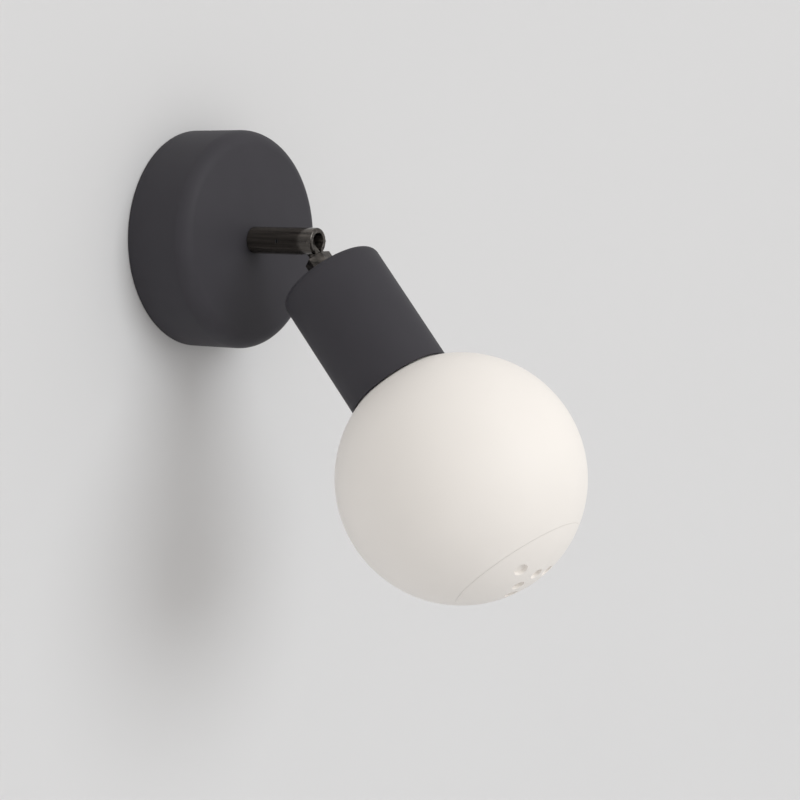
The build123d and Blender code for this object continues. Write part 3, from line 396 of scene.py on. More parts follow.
def sphere_shell_tree(sizes):
    """A part of a hollow sphere between two heights about its centre, with two rings of vents."""
    tree, given = geometry_tree("Vented sphere shell", sizes)
    loop = grow(tree, "GeometryNodeCurvePrimitiveCircle", {"Resolution": 2 * ARC_POINTS})
    index = grow(tree, "GeometryNodeInputIndex").outputs[0]
    outer = worked(tree, "LESS_THAN", index, ARC_POINTS - 0.5)
    inner = worked(tree, "SUBTRACT", 1.0, outer)
    radius = worked(
        tree, "SUBTRACT", given["Radius"], worked(tree, "MULTIPLY", inner, given["Wall"]),
    )
    along = worked(tree, "MODULO", index, float(ARC_POINTS))
    share = worked(tree, "DIVIDE", along, float(ARC_POINTS - 1))
    onward = worked(tree, "ABSOLUTE", worked(tree, "SUBTRACT", inner, share))
    low = worked(tree, "ARCCOSINE", worked(tree, "DIVIDE", given["Start"], radius))
    top = worked(tree, "MINIMUM", 1.0, worked(tree, "DIVIDE", given["End"], radius))
    high = worked(tree, "ARCCOSINE", top)
    angle = worked(
        tree, "ADD", low,
        worked(tree, "MULTIPLY", worked(tree, "SUBTRACT", high, low), onward),
    )
    spot = outline_point(
        tree,
        worked(tree, "MULTIPLY", worked(tree, "SINE", angle), radius),
        worked(tree, "MULTIPLY", worked(tree, "COSINE", angle), radius),
    )
    shaped = grow(
        tree, "GeometryNodeSetPosition", {"Geometry": loop.outputs[0], "Position": spot},
    )
    shell = grow(
        tree, "GeometryNodeMergeByDistance",
        {"Geometry": carried_round(tree, shaped.outputs[0]), "Distance": WELD},
    ).outputs[0]
    drills = grow(tree, "GeometryNodeJoinGeometry")
    for ring, turn in (("Inner", INNER_TURN), ("Outer", 0.0)):
        vents = ring_of(
            tree, drill(tree, given[ring + " Vent"], given["Radius"]),
            given[ring + " Vents"], given[ring + " Ring"], given["Radius"],
            worked(tree, "ADD", given["Turn"], turn), 0.0,
        )
        tree.links.new(vents, drills.inputs[0])
    close_tree(tree, given, drilled(tree, shell, drills.outputs[0]))
    return tree


def spigot_tree(sizes):
    """A short plain ring with softened edges."""
    tree, given = geometry_tree("Plain ring", sizes)
    within = worked(tree, "SUBTRACT", given["Radius"], given["Wall"])
    lip = worked(tree, "MULTIPLY", given["Wall"], RING_LIP)
    outline = rounded_outline(
        tree,
        [
            (within, 0.0, lip), (given["Radius"], 0.0, lip),
            (given["Radius"], given["Depth"], lip), (within, given["Depth"], lip),
        ],
        RING_STEPS,
    )
    close_tree(tree, given, carried_round(tree, outline))
    return tree


def thread_tree(sizes):
    """The ridge of an outside screw thread about Z."""
    tree, given = geometry_tree("Screw thread", sizes)
    turns = worked(tree, "DIVIDE", given["Length"], given["Pitch"])
    path = grow(
        tree, "GeometryNodeCurveSpiral",
        {
            "Resolution": TURN_STEPS, "Rotations": turns, "Start Radius": given["Root Radius"],
            "End Radius": given["Root Radius"], "Height": given["Length"], "Reverse": True,
        },
    )
    rise = worked(tree, "SUBTRACT", given["Crest Radius"], given["Root Radius"])
    root = worked(tree, "MULTIPLY", given["Pitch"], THREAD_ROOT)
    crest = worked(tree, "MULTIPLY", root, THREAD_CREST)
    sunk = worked(tree, "MULTIPLY", rise, -THREAD_SUNK)
    loop = grow(tree, "GeometryNodeCurvePrimitiveCircle", {"Resolution": 4})
    outline = grow(
        tree, "GeometryNodeSetPosition",
        {
            "Geometry": loop.outputs[0],
            "Position": chosen(
                tree, "VECTOR",
                [
                    point(tree, sunk, root, 0.0),
                    point(tree, sunk, worked(tree, "MULTIPLY", root, -1.0), 0.0),
                    point(tree, rise, worked(tree, "MULTIPLY", crest, -1.0), 0.0),
                    point(tree, rise, crest, 0.0),
                ],
            ),
        },
    )
    ridge = grow(
        tree, "GeometryNodeCurveToMesh",
        {"Curve": path.outputs[0], "Profile Curve": outline.outputs[0], "Fill Caps": True},
    )
    close_tree(tree, given, ridge.outputs[0])
    return tree


def chip_tree(sizes):
    """Light chips on a ring: a white package with a raised gel pad on each."""
    tree, given = geometry_tree("Ring of light chips", sizes)
    package = grow(
        tree, "GeometryNodeMeshCube",
        {"Size": point(tree, given["Size"], given["Size"], given["Height"])},
    ).outputs[0]
    pad = grow(
        tree, "GeometryNodeMeshCylinder",
        {
            "Vertices": GEL_SIDES,
            "Radius": worked(tree, "MULTIPLY", given["Size"], GEL_SPAN / 2),
            "Depth": worked(tree, "MULTIPLY", given["Height"], GEL_DEPTH),
        },
    ).outputs[0]
    lift = point(tree, 0.0, 0.0, worked(tree, "MULTIPLY", given["Height"], GEL_LIFT))
    gel = grow(tree, "GeometryNodeTransform", {"Geometry": pad, "Translation": lift}).outputs[0]
    chip = grow(tree, "GeometryNodeJoinGeometry")
    tree.links.new(package, chip.inputs[0])
    tree.links.new(gel, chip.inputs[0])
    ring = ring_of(
        tree, chip.outputs[0], given["Chips"], given["Ring Radius"],
        worked(tree, "MULTIPLY", given["Height"], 0.5), 0.0, 0.0,
    )
    close_tree(tree, given, ring)
    return tree


def made_by(build, name, sizes, material, where):
    """Run a tree on an empty object and keep its result as a plain mesh at its place."""
    tree = build(sizes)
    carrier = bpy.data.objects.new(name, bpy.data.meshes.new(name))
    bpy.context.scene.collection.objects.link(carrier)
    modifier = carrier.modifiers.new(tree.name, "NODES")
    modifier.node_group = tree
    for item in tree.interface.items_tree:
        if item.in_out == "INPUT":
            modifier[item.identifier] = material if item.name == "Material" else sizes[item.name]
    graph = bpy.context.evaluated_depsgraph_get()
    mesh = bpy.data.meshes.new_from_object(carrier.evaluated_get(graph))
    carrier.modifiers.remove(modifier)
    carrier.data = mesh
    mesh.transform(where)
    faces_out(mesh)
    if not mesh.polygons:
        raise RuntimeError(f"{name} came out empty")
    return carrier


SHARP = math.radians(28.0)    # an edge that turns more than this stays sharp
SAME_POINT = 0.000001         # points nearer than this are one
TINY_EDGE = 0.0000005         # edges shorter than this are taken out


def faces_out(mesh):
    """Point the faces outwards and shade them smooth between the sharp edges."""
    work = bmesh.new()
    work.from_mesh(mesh)
    bmesh.ops.remove_doubles(work, verts=work.verts, dist=SAME_POINT)
    bmesh.ops.dissolve_degenerate(work, edges=work.edges, dist=TINY_EDGE)
    bmesh.ops.recalc_face_normals(work, faces=work.faces)
    work.to_mesh(mesh)
    work.free()
    mesh.shade_smooth()
    mesh.set_sharp_from_angle(angle=SHARP)


# ---------------------------------------------------------------- materials
def new_material(name):
    """A node material with a principled surface, and its tree and surface."""
    material = bpy.data.materials.new(name)
    material.use_nodes = True
    tree = material.node_tree
    tree.nodes.clear()
    surface = grow(tree, "ShaderNodeBsdfPrincipled")
    grow(tree, "ShaderNodeOutputMaterial", {"Surface": surface.outputs[0]})
    return material, tree, surface


def grain(tree, scale, detail=3.0, stretch=(1.0, 1.0, 1.0), turn=(0.0, 0.0, 0.0)):
    """Noise on the piece's own coordinates, stretched along one of its directions."""
    own = grow(tree, "ShaderNodeTexCoord").outputs["Object"]
    lined = grow(tree, "ShaderNodeMapping", {"Vector": own, "Rotation": turn, "Scale": stretch})
    return grow(
        tree, "ShaderNodeTexNoise",
        {"Vector": lined.outputs[0], "Scale": scale, "Detail": detail, "Roughness": 0.55},
    ).outputs["Fac"]


def blended(tree, factor, low, high):
    """A colour between two, by a factor."""
    ramp = grow(tree, "ShaderNodeValToRGB", {"Fac": factor})
    ramp.color_ramp.elements[0].position = 0.3
    ramp.color_ramp.elements[1].position = 0.7
    ramp.color_ramp.elements[0].color = (*low, 1.0)
    ramp.color_ramp.elements[1].color = (*high, 1.0)
    return ramp.outputs[0]


def ranged(tree, factor, low, high):
    """A number between two, by a factor."""
    return grow(
        tree, "ShaderNodeMapRange",
        {"Value": factor, "From Min": 0.3, "From Max": 0.7, "To Min": low, "To Max": high},
    ).outputs[0]


def weighed(tree, first, second, share):
    """Two patterns together: the first by a share, and the second by the rest."""
    return worked(
        tree, "ADD",
        worked(tree, "MULTIPLY", first, share), worked(tree, "MULTIPLY", second, 1.0 - share),
    )


def raised(tree, surface, height, strength, distance):
    """Give a surface a fine relief."""
    bump = grow(
        tree, "ShaderNodeBump",
        {"Height": height, "Strength": strength, "Distance": distance},
    )
    tree.links.new(bump.outputs[0], surface.inputs["Normal"])


def near(base, share):
    """A colour lighter or darker than another by a share."""
    return tuple(min(1.0, max(0.0, part * (1.0 + share))) for part in base)


def powder_coat(name, base):
    """Fine matt powder coat: an even tone, faint clouding and a very small orange peel."""
    material, tree, surface = new_material(name)
    cloud = grain(tree, scale=38.0, detail=2.0)
    speck = grain(tree, scale=2600.0, detail=2.0)
    tone = blended(tree, cloud, near(base, -0.035), near(base, 0.035))
    light = (*near(base, 0.5), 1.0)
    dust = grow(
        tree, "ShaderNodeMix",
        {"Factor": ranged(tree, speck, low=0.0, high=0.10), "A": tone, "B": light},
        data_type="RGBA",
    )
    tree.links.new(dust.outputs["Result"], surface.inputs["Base Color"])
    tree.links.new(ranged(tree, speck, low=0.52, high=0.62), surface.inputs["Roughness"])
    surface.inputs["Specular IOR Level"].default_value = 0.16
    coarse = grain(tree, scale=1500.0, detail=1.0)
    peel = worked(tree, "ADD", coarse, worked(tree, "MULTIPLY", speck, 0.4))
    raised(tree, surface, peel, strength=0.10, distance=0.00012)
    return material


def plated(name, base, low, high, stretch=(1.0, 1.0, 1.0), turn=(0.0, 0.0, 0.0)):
    """Plated or turned metal with fine tool lines, stretched along one direction."""
    material, tree, surface = new_material(name)
    stroke = grain(tree, scale=900.0, detail=4.0, stretch=stretch, turn=turn)
    stain = grain(tree, scale=160.0, detail=3.0)
    tone = blended(tree, stain, near(base, -0.08), near(base, 0.06))
    tree.links.new(tone, surface.inputs["Base Color"])
    surface.inputs["Metallic"].default_value = 1.0
    both = weighed(tree, stroke, stain, 0.6)
    tree.links.new(ranged(tree, both, low, high), surface.inputs["Roughness"])
    raised(tree, surface, stroke, strength=0.04, distance=0.00004)
    return material


def dark_plate(name, base):
    """Polished dark plate: a dim mirror with painted reflection streaks along the arm in its
    colour, and small stains.
    """
    material, tree, surface = new_material(name)
    stain = grain(tree, scale=210.0, detail=4.0)
    painted_reflection_streaks = grain(tree, scale=420.0, detail=2.0, stretch=(1.0, 0.03, 1.0))
    fine = grain(tree, scale=1700.0, detail=3.0)
    # painted reflection: the colour swings between much darker and much lighter streaks along the
    # arm, to give the reflection bands of the polished tube
    tree.links.new(
        blended(tree, painted_reflection_streaks, near(base, -0.80), near(base, 0.9)), surface.inputs["Base Color"],
    )
    surface.inputs["Metallic"].default_value = 0.65
    both = weighed(tree, stain, fine, 0.5)
    tree.links.new(ranged(tree, both, low=0.05, high=0.12), surface.inputs["Roughness"])
    raised(tree, surface, fine, strength=0.03, distance=0.00003)
    return material


def moulded(name, base, roughness, tone_share=0.05):
    """Moulded plastic: an even body with a very fine satin skin."""
    material, tree, surface = new_material(name)
    cloud = grain(tree, scale=120.0, detail=3.0)
    skin = grain(tree, scale=2200.0, detail=2.0)
    tree.links.new(
        blended(tree, cloud, near(base, -tone_share), near(base, tone_share)),
        surface.inputs["Base Color"],
    )
    tree.links.new(
        ranged(tree, skin, roughness - 0.05, roughness + 0.07), surface.inputs["Roughness"],
    )
    raised(tree, surface, skin, strength=0.05, distance=0.00006)
    return material


def opal_diffuser(name, base):
    """Matt opal diffuser: an even warm white body with a fine frost."""
    material, tree, surface = new_material(name)
    cloud = grain(tree, scale=22.0, detail=2.0)
    frost = grain(tree, scale=3200.0, detail=2.0)
    tree.links.new(
        blended(tree, cloud, near(base, -0.012), near(base, 0.012)),
        surface.inputs["Base Color"],
    )
    tree.links.new(ranged(tree, frost, low=0.44, high=0.54), surface.inputs["Roughness"])
    surface.inputs["Specular IOR Level"].default_value = 0.15
    raised(tree, surface, frost, strength=0.04, distance=0.00005)
    return material


def glazed(name, base):
    """Glazed ceramic: a soft white body under a clear coat."""
    material, tree, surface = new_material(name)
    cloud = grain(tree, scale=260.0, detail=4.0)
    tree.links.new(
        blended(tree, cloud, near(base, -0.06), near(base, 0.04)), surface.inputs["Base Color"],
    )
    tree.links.new(ranged(tree, cloud, low=0.25, high=0.40), surface.inputs["Roughness"])
    surface.inputs["Coat Weight"].default_value = 0.6
    surface.inputs["Coat Roughness"].default_value = 0.12
    ripple = grain(tree, scale=500.0, detail=2.0)
    raised(tree, surface, ripple, strength=0.06, distance=0.0001)
    return material


def sheathed(name, base, turn):
    """Extruded sheath with faint lines along its length."""
    material, tree, surface = new_material(name)
    line = grain(tree, scale=1400.0, detail=2.0, stretch=(1.0, 1.0, 0.02), turn=turn)
    tree.links.new(
        blended(tree, line, near(base, -0.06), near(base, 0.06)), surface.inputs["Base Color"],
    )
    tree.links.new(ranged(tree, line, low=0.42, high=0.55), surface.inputs["Roughness"])
    raised(tree, surface, line, strength=0.08, distance=0.00008)
    return material


def circuit(name, base, copper):
    """Circuit board: solder mask over faint copper tracks."""
    material, tree, surface = new_material(name)
    own = grow(tree, "ShaderNodeTexCoord").outputs["Object"]
    tracks = grow(
        tree, "ShaderNodeTexVoronoi", {"Vector": own, "Scale": 420.0, "Randomness": 0.7},
        feature="DISTANCE_TO_EDGE",
    )
    factor = grow(
        tree, "ShaderNodeMapRange",
        {"Value": tracks.outputs["Distance"], "From Min": 0.04, "From Max": 0.09,
         "To Min": 0.0, "To Max": 1.0},
    ).outputs[0]
    tree.links.new(blended(tree, factor, copper, base), surface.inputs["Base Color"])
    tree.links.new(ranged(tree, factor, low=0.35, high=0.5), surface.inputs["Roughness"])
    raised(tree, surface, factor, strength=0.15, distance=0.00006)
    return material


FACE_ON = (-TILT, 0.0, 0.0)           # turns a pattern for the head's axis
FLAT_ON = (math.pi / 2, 0.0, 0.0)     # turns a pattern for the arm's axis
TURNED = (0.03, 0.03, 1.0)            # tool marks round a turned piece
DRAWN_SHEET = (1.0, 1.0, 0.04)        # lines along an upright strip
ROLLED = (1.0, 0.05, 1.0)             # lines across a strip or plate


def finishes(settings):
    """The material of each of the record's slots."""
    return {
        "graphite_paint": powder_coat("Graphite powder coat", tuple(settings.paint)),
        "black_chrome": dark_plate("Dark plate", tuple(settings.metal)),
        "black_nylon": moulded("Black nylon", (0.018, 0.018, 0.02), 0.5),
        "natural_nylon": moulded("Natural nylon", (0.68, 0.64, 0.55), 0.45),
        "bright_steel": plated("Bright screw steel", (0.62, 0.62, 0.60), 0.2, 0.34),
        "black_steel": plated("Blackened steel", (0.07, 0.07, 0.072), 0.35, 0.5),
        "zinc_steel": plated("Zinc plated sheet", (0.56, 0.57, 0.58), 0.28, 0.42, DRAWN_SHEET),
        "spring_steel": plated("Spring steel", (0.38, 0.38, 0.39), 0.22, 0.34),
        "brass": plated("Turned brass", (0.72, 0.50, 0.22), 0.22, 0.38, TURNED, FLAT_ON),
        "contact_bronze": plated("Bronze strip", (0.66, 0.38, 0.20), 0.24, 0.4, ROLLED),
        "nickel_plate": plated("Nickel plate", (0.66, 0.63, 0.56), 0.16, 0.3, TURNED, FACE_ON),
        "cable_sheath": sheathed("Cable sheath", (0.58, 0.57, 0.54), FLAT_ON),
        "core_sheath": sheathed("Core insulation", (0.45, 0.24, 0.12), FLAT_ON),
        "white_plastic": moulded("White thermoplastic", (0.76, 0.75, 0.71), 0.38),
        "black_phenolic": moulded("Black phenolic", (0.014, 0.013, 0.013), 0.3, 0.12),
        "porcelain": glazed("Porcelain", (0.78, 0.74, 0.66)),
        "black_glaze": glazed("Black glass insulator", (0.02, 0.02, 0.022)),
        "aluminium": plated("Aluminium plate", (0.74, 0.74, 0.74), 0.3, 0.45, ROLLED),
        "board_white": circuit("White solder mask", (0.8, 0.8, 0.77), (0.7, 0.7, 0.66)),
        "phosphor": moulded("Phosphor gel", (0.80, 0.60, 0.10), 0.3, 0.08),
        "board_green": circuit("Green solder mask", (0.03, 0.20, 0.08), (0.06, 0.30, 0.12)),
        "capacitor_sleeve": moulded("Capacitor sleeve", (0.03, 0.04, 0.10), 0.28, 0.06),
        "choke_tape": sheathed("Wound tape", (0.70, 0.48, 0.07), FACE_ON),
        "opal_white": opal_diffuser("Opal diffuser", tuple(settings.opal)),
    }


MADE = {}


def finish_of(slot):
    """The material made for a slot."""
    return MADE[slot]


# ---------------------------------------------------------------- operators
class WALLLIGHT_OT_finishes(bpy.types.Operator):
    """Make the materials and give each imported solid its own"""

    bl_idname = "wall_light.finishes"
    bl_label = "Finishes"

    def execute(self, context):
        MADE.update(finishes(context.scene.wall_light_finish))
        slots = {part["node"]: part["material_slot"] for part in frame["record"]["subparts"]}
        slots["rim_rivets"] = "black_chrome"    # the rivets are plated with the tube
        for node, solid in frame["nodes"].items():
            for spot in solid.material_slots:
                spot.material = finish_of(slots[node])
        return {"FINISHED"}


class WALLLIGHT_OT_rose(bpy.types.Operator):
    """Make the rose's cup"""

    bl_idname = "wall_light.rose"
    bl_label = "Rose"

    def execute(self, context):
        rose = context.scene.wall_light_rose
        shell = made_by(
            cup_tree, "rose_shell",
            {
                "Radius": rose.radius, "Depth": rose.depth, "Edge Radius": rose.edge,
                "Wall": rose.wall, "Opening": rose.opening, "Holes": 2,
                "Hole Radius": rose.screw_opening, "Hole Height": rose.depth - rose.screw_depth,
            },
            finish_of("graphite_paint"), arm_place(rose.depth, 1),
        )
        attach(shell, "rose")
        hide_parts("rose_cover")
        return {"FINISHED"}


class WALLLIGHT_OT_nipple(bpy.types.Operator):
    """Cut the thread on the arm's nipple where the lock nuts run"""

    bl_idname = "wall_light.nipple"
    bl_label = "Nipple thread"

    def execute(self, context):
        nipple = context.scene.wall_light_nipple
        ridge = made_by(
            thread_tree, "nipple_thread",
            {
                "Root Radius": nipple.root, "Crest Radius": nipple.crest,
                "Pitch": nipple.pitch, "Length": nipple.depth,
            },
            finish_of("zinc_steel"), arm_place(nipple.start),
        )
        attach(ridge, "arm")
        return {"FINISHED"}


class WALLLIGHT_OT_cover(bpy.types.Operator):
    """Make the lampholder's cover"""

    bl_idname = "wall_light.cover"
    bl_label = "Lampholder cover"

    def execute(self, context):
        cover = context.scene.wall_light_cover
        shell = made_by(
            cup_tree, "cover_shell",
            {
                "Radius": cover.radius, "Depth": cover.depth, "Edge Radius": cover.edge,
                "Wall": cover.wall, "Opening": cover.opening, "Holes": 0,
                "Hole Radius": cover.wall, "Hole Height": 0.0,
            },
            finish_of("graphite_paint"), head_place(cover.start),
        )
        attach(shell, "head")
        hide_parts("lampholder_cover")
        return {"FINISHED"}


SCREEN_SUNK = 0.25        # how far the screen is sunk into the cap, as a share of its thickness


def shell_sizes(globe, start, end, inner, outer):
    """The sizes of one part of the globe between two heights."""
    return {
        "Radius": globe.radius, "Wall": globe.wall, "Start": start, "End": end,
        "Inner Vents": inner, "Inner Ring": globe.inner_ring, "Inner Vent": globe.inner_vent,
        "Outer Vents": outer, "Outer Ring": globe.outer_ring, "Outer Vent": globe.outer_vent,
        "Turn": globe.turn,
    }


class WALLLIGHT_OT_globe(bpy.types.Operator):
    """Make the lamp's globe, open at its neck and at the vent cap"""

    bl_idname = "wall_light.globe"
    bl_label = "Globe"

    def execute(self, context):
        globe = context.scene.wall_light_globe
        shell = made_by(
            sphere_shell_tree, "globe_shell",
            shell_sizes(globe, -globe.mouth, globe.parting - globe.gap / 2, 0, 0),
            finish_of("opal_white"), head_place(globe.centre),
        )
        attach(shell, "lamp")
        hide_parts("globe_diffuser")
        return {"FINISHED"}


class WALLLIGHT_OT_vent_cap(bpy.types.Operator):
    """Make the perforated cap at the globe's far end, its spigot and its screen"""

    bl_idname = "wall_light.vent_cap"
    bl_label = "Vent cap"

    def execute(self, context):
        globe = context.scene.wall_light_globe
        cap = made_by(
            sphere_shell_tree, "vent_shell",
            shell_sizes(
                globe, globe.parting + globe.gap / 2, globe.radius,
                globe.inner_count, globe.outer_count,
            ),
            finish_of("opal_white"), head_place(globe.centre),
        )
        spigot = made_by(
            spigot_tree, "vent_spigot",
            {
                "Radius": globe.spigot_radius, "Wall": globe.spigot_wall,
                "Depth": globe.spigot_depth + globe.spigot_rise,
            },
            finish_of("opal_white"),
            head_place(globe.centre + globe.parting - globe.spigot_depth),
        )
        lining = shell_sizes(globe, globe.screen_start, globe.radius, 0, 0)
        lining["Radius"] = globe.radius - globe.wall + globe.screen * SCREEN_SUNK
        lining["Wall"] = globe.screen
        screen = made_by(
            sphere_shell_tree, "vent_screen", lining, finish_of("opal_white"),
            head_place(globe.centre),
        )
        for piece in (cap, spigot, screen):
            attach(piece, "lamp")
            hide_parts("vent_cap")
        return {"FINISHED"}


class WALLLIGHT_OT_chips(bpy.types.Operator):
    """Make the ring of light chips on the lamp's board"""

    bl_idname = "wall_light.chips"
    bl_label = "Light chips"

    def execute(self, context):
        chips = context.scene.wall_light_chips
        ring = made_by(
            chip_tree, "chip_ring",
            {
                "Chips": chips.number, "Ring Radius": chips.ring,
                "Size": chips.size, "Height": chips.height,
            },
            finish_of("phosphor"), head_place(chips.seat),
        )
        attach(ring, "lamp")
        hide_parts("led_chips")
        return {"FINISHED"}


# ---------------------------------------------------------------- stage
COVE_REACH = 4.0          # from the light to the edges of the wall and the floor
COVE_FLOOR = -0.85        # height of the floor
COVE_BEND = 0.3           # radius of the bend between the wall and the floor
COVE_STEPS = 16           # segments of that bend
COVE_BEHIND = 0.0002      # from the back of the rose to the wall
OPENING = 0.0535          # radius of the opening in the wall behind the rose
OPENING_SIDES = 64        # sides of that opening
PANEL = 0.45              # half the side of the panel that has the opening
COVE_WELD = 0.00001       # points of the wall nearer than this are joined
LIT_POINT = Vector((0, -0.08, -0.05))      # middle of the light, where the fill looks
FILL_PLACE = Vector((-0.9, 1.8, 0.5))
CAMERA_TURN = math.radians(-56.4)          # turn of the camera from straight on
CAMERA_LIFT = math.radians(6.6)            # rise of the camera
CAMERA_ACROSS = 0.10325                    # from the light's origin to the right of the view
CAMERA_DOWN = 0.08295                      # from the origin down in the view
CAMERA_BACK = 1.02776                      # from the origin to the camera
CAMERA_LENS = 90.0                         # focal length in millimetres
CAMERA_SENSOR = 36.0                       # width of the sensor in millimetres


class WALLLIGHT_OT_stage(bpy.types.Operator):
    """Set up the studio wall, the lamps, the sky and the camera"""

    bl_idname = "wall_light.stage"
    bl_label = "Stage"

    def execute(self, context):
        scene = context.scene
        settings = scene.wall_light_stage
        backdrop = studio_cove(tuple(scene.wall_light_finish.backdrop))
        far_light(settings)
        back_fill(settings)
        sky(scene, settings)
        scene.camera = photo_camera()
        scene.view_settings.view_transform = "Standard"
        return {"FINISHED"}


def opening_panel(work):
    """The square middle panel of the wall, with the round opening behind the rose."""
    ring = []
    square = []
    for step in range(OPENING_SIDES):
        angle = math.tau * step / OPENING_SIDES
        across, up = math.cos(angle), math.sin(angle)
        stretch = PANEL / max(abs(across), abs(up))
        ring.append(work.verts.new((OPENING * across, COVE_BEHIND, OPENING * up)))
        square.append(work.verts.new((stretch * across, COVE_BEHIND, stretch * up)))
    for step in range(OPENING_SIDES):
        after = (step + 1) % OPENING_SIDES
        work.faces.new((ring[step], ring[after], square[after], square[step]))


def outer_panels(work):
    """The wall's four panels round the middle one, down to where the bend starts."""
    foot = COVE_FLOOR + COVE_BEND
    panels = (
        ((-COVE_REACH, -PANEL), (-PANEL, PANEL)),
        ((PANEL, -PANEL), (COVE_REACH, PANEL)),
        ((-COVE_REACH, PANEL), (COVE_REACH, COVE_REACH)),
        ((-COVE_REACH, foot), (COVE_REACH, -PANEL)),
    )
    for (left, low), (right, high) in panels:
        corners = ((left, low), (right, low), (right, high), (left, high))
        work.faces.new([work.verts.new((x, COVE_BEHIND, z)) for x, z in corners])


def bend_and_floor(work):
    """The bend at the wall's foot and the floor in front of it."""
    foot = COVE_FLOOR + COVE_BEND
    curve = [(COVE_BEHIND, foot)]
    for step in range(1, COVE_STEPS + 1):
        angle = math.pi / 2 * step / COVE_STEPS
        out, drop = COVE_BEND * (1 - math.cos(angle)), COVE_BEND * (1 - math.sin(angle))
        curve.append((COVE_BEHIND - out, COVE_FLOOR + drop))
    curve.append((-COVE_REACH, COVE_FLOOR))
    rows = [
        (work.verts.new((-COVE_REACH, y, z)), work.verts.new((COVE_REACH, y, z)))
        for y, z in curve
    ]
    for (a, b), (c, d) in zip(rows, rows[1:]):
        work.faces.new((a, b, d, c))


def studio_cove(base):
    """A wall that runs into the floor by a bend, with a round opening behind the rose."""
    work = bmesh.new()
    opening_panel(work)
    outer_panels(work)
    bend_and_floor(work)
    bmesh.ops.remove_doubles(work, verts=work.verts, dist=COVE_WELD)
    for face in work.faces:
        face.normal_update()
        if face.normal.dot(Vector((0, -1, 1))) < 0:
            face.normal_flip()
        face.smooth = face.calc_center_median().z < COVE_FLOOR + COVE_BEND
    mesh = bpy.data.meshes.new("Studio cove")
    work.to_mesh(mesh)
    work.free()
    mesh.materials.append(wall_finish(base))
    cove = bpy.data.objects.new("Studio cove", mesh)
    bpy.context.scene.collection.objects.link(cove)
    return cove


def wall_finish(base):
    """Plain matt wall that is clear from behind, so that the back of the rose shows."""
    material, tree, surface = new_material("Studio wall")
    cloud = grain(tree, scale=3.0, detail=2.0)
    tree.links.new(
        blended(tree, cloud, near(base, -0.004), near(base, 0.004)), surface.inputs["Base Color"],
    )
    surface.inputs["Roughness"].default_value = 0.9
    surface.inputs["Specular IOR Level"].default_value = 0.1
    clear = grow(tree, "ShaderNodeBsdfTransparent")
    from_behind = grow(tree, "ShaderNodeNewGeometry").outputs["Backfacing"]
    either = grow(
        tree, "ShaderNodeMixShader",
        {0: from_behind, 1: surface.outputs[0], 2: clear.outputs[0]},
    )
    output = next(node for node in tree.nodes if node.type == "OUTPUT_MATERIAL")
    tree.links.new(either.outputs[0], output.inputs["Surface"])
    return material


def far_light(settings):
    """A far, wide light: it lights the whole wall evenly and gives one soft shadow."""
    data = bpy.data.lights.new("Key", "SUN")
    data.energy = settings.key
    data.color = settings.key_tint
    data.angle = settings.key_spread
    lamp = bpy.data.objects.new("Key", data)
    out = math.cos(settings.key_height)
    towards = Vector((
        math.sin(settings.key_side) * out, -math.cos(settings.key_side) * out,
        math.sin(settings.key_height),
    ))
    lamp.location = towards
    lamp.rotation_euler = towards.to_track_quat("Z", "Y").to_euler()
    bpy.context.scene.collection.objects.link(lamp)


def back_fill(settings):
    """A square soft lamp behind the wall that looks at the light."""
    data = bpy.data.lights.new("Back fill", "AREA")
    data.energy = settings.fill
    data.size = settings.fill_size
    lamp = bpy.data.objects.new("Back fill", data)
    lamp.location = FILL_PLACE
    lamp.rotation_euler = (LIT_POINT - FILL_PLACE).to_track_quat("-Z", "Y").to_euler()
    bpy.context.scene.collection.objects.link(lamp)


def sky(scene, settings):
    """Even light all round; the view, gloss and clear surfaces show it as the wall's tone."""
    world = bpy.data.worlds.new("Even sky")
    world.use_nodes = True
    scene.world = world
    tree = world.node_tree
    tree.nodes.clear()
    light = grow(
        tree, "ShaderNodeBackground",
        {"Color": (*settings.sky_tint, 1.0), "Strength": settings.sky},
    )
    seen = grow(
        tree, "ShaderNodeBackground", {"Color": (*settings.sky_seen, 1.0), "Strength": 1.0},
    )
    ray = grow(tree, "ShaderNodeLightPath").outputs
    direct = worked(tree, "MAXIMUM", ray["Is Camera Ray"], ray["Is Transmission Ray"])
    factor = worked(tree, "MAXIMUM", direct, ray["Is Glossy Ray"])
    both = grow(
        tree, "ShaderNodeMixShader", {0: factor, 1: light.outputs[0], 2: seen.outputs[0]},
    )
    grow(tree, "ShaderNodeOutputWorld", {"Surface": both.outputs[0]})


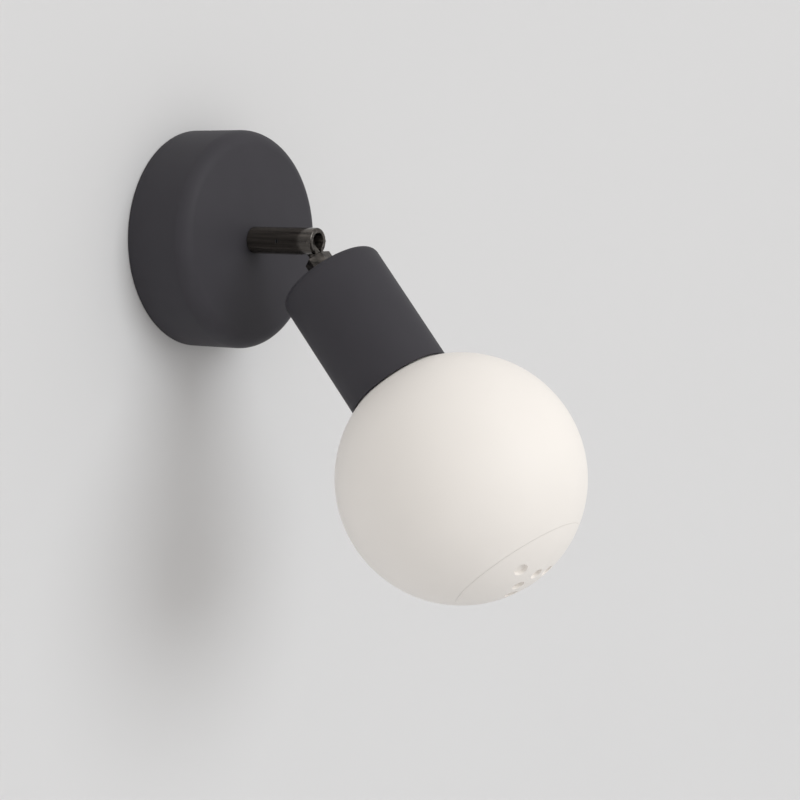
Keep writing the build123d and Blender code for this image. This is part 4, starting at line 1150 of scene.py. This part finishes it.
def photo_camera():
    """The camera at the photograph's angle."""
    back = Vector((
        math.sin(CAMERA_TURN) * math.cos(CAMERA_LIFT),
        -math.cos(CAMERA_TURN) * math.cos(CAMERA_LIFT),
        math.sin(CAMERA_LIFT),
    ))
    right = Vector((math.cos(CAMERA_TURN), math.sin(CAMERA_TURN), 0.0))
    up = back.cross(right)
    data = bpy.data.cameras.new("Photo camera")
    data.sensor_width = CAMERA_SENSOR
    data.lens = CAMERA_LENS
    camera = bpy.data.objects.new("Photo camera", data)
    camera.location = right * CAMERA_ACROSS - up * CAMERA_DOWN + back * CAMERA_BACK
    camera.rotation_mode = "QUATERNION"
    camera.rotation_quaternion = Matrix((right, up, back)).transposed().to_quaternion()
    bpy.context.scene.collection.objects.link(camera)
    return camera


# ---------------------------------------------------------------- panel and registration
PIECES = (
    WALLLIGHT_OT_finishes,
    WALLLIGHT_OT_rose,
    WALLLIGHT_OT_nipple,
    WALLLIGHT_OT_cover,
    WALLLIGHT_OT_globe,
    WALLLIGHT_OT_vent_cap,
    WALLLIGHT_OT_chips,
    WALLLIGHT_OT_stage,
)

GROUPS = {
    "wall_light_rose": WallLightRose,
    "wall_light_nipple": WallLightNipple,
    "wall_light_cover": WallLightCover,
    "wall_light_globe": WallLightGlobe,
    "wall_light_chips": WallLightChips,
    "wall_light_finish": WallLightFinish,
    "wall_light_stage": WallLightStage,
}


class WALLLIGHT_PT_panel(bpy.types.Panel):
    """Lists the pieces and their sizes"""

    bl_idname = "WALLLIGHT_PT_panel"
    bl_label = "Wall light"
    bl_space_type = "VIEW_3D"
    bl_region_type = "UI"
    bl_category = "Wall light"

    def draw(self, context):
        for piece in PIECES:
            self.layout.operator(piece.bl_idname)
        for name, group in GROUPS.items():
            box = self.layout.box()
            for size in group.__annotations__:
                box.prop(getattr(context.scene, name), size)


def register():
    for group in GROUPS.values():
        bpy.utils.register_class(group)
    for name, group in GROUPS.items():
        setattr(bpy.types.Scene, name, bpy.props.PointerProperty(type=group))
    for piece in (*PIECES, WALLLIGHT_PT_panel):
        bpy.utils.register_class(piece)


def unregister():
    for piece in (*PIECES, WALLLIGHT_PT_panel):
        bpy.utils.unregister_class(piece)
    for name, group in GROUPS.items():
        delattr(bpy.types.Scene, name)
        bpy.utils.unregister_class(group)


def main():
    register()
    for piece in PIECES:
        section, name = piece.bl_idname.split(".")
        getattr(getattr(bpy.ops, section), name)()


if __name__ == "__main__":
    main()
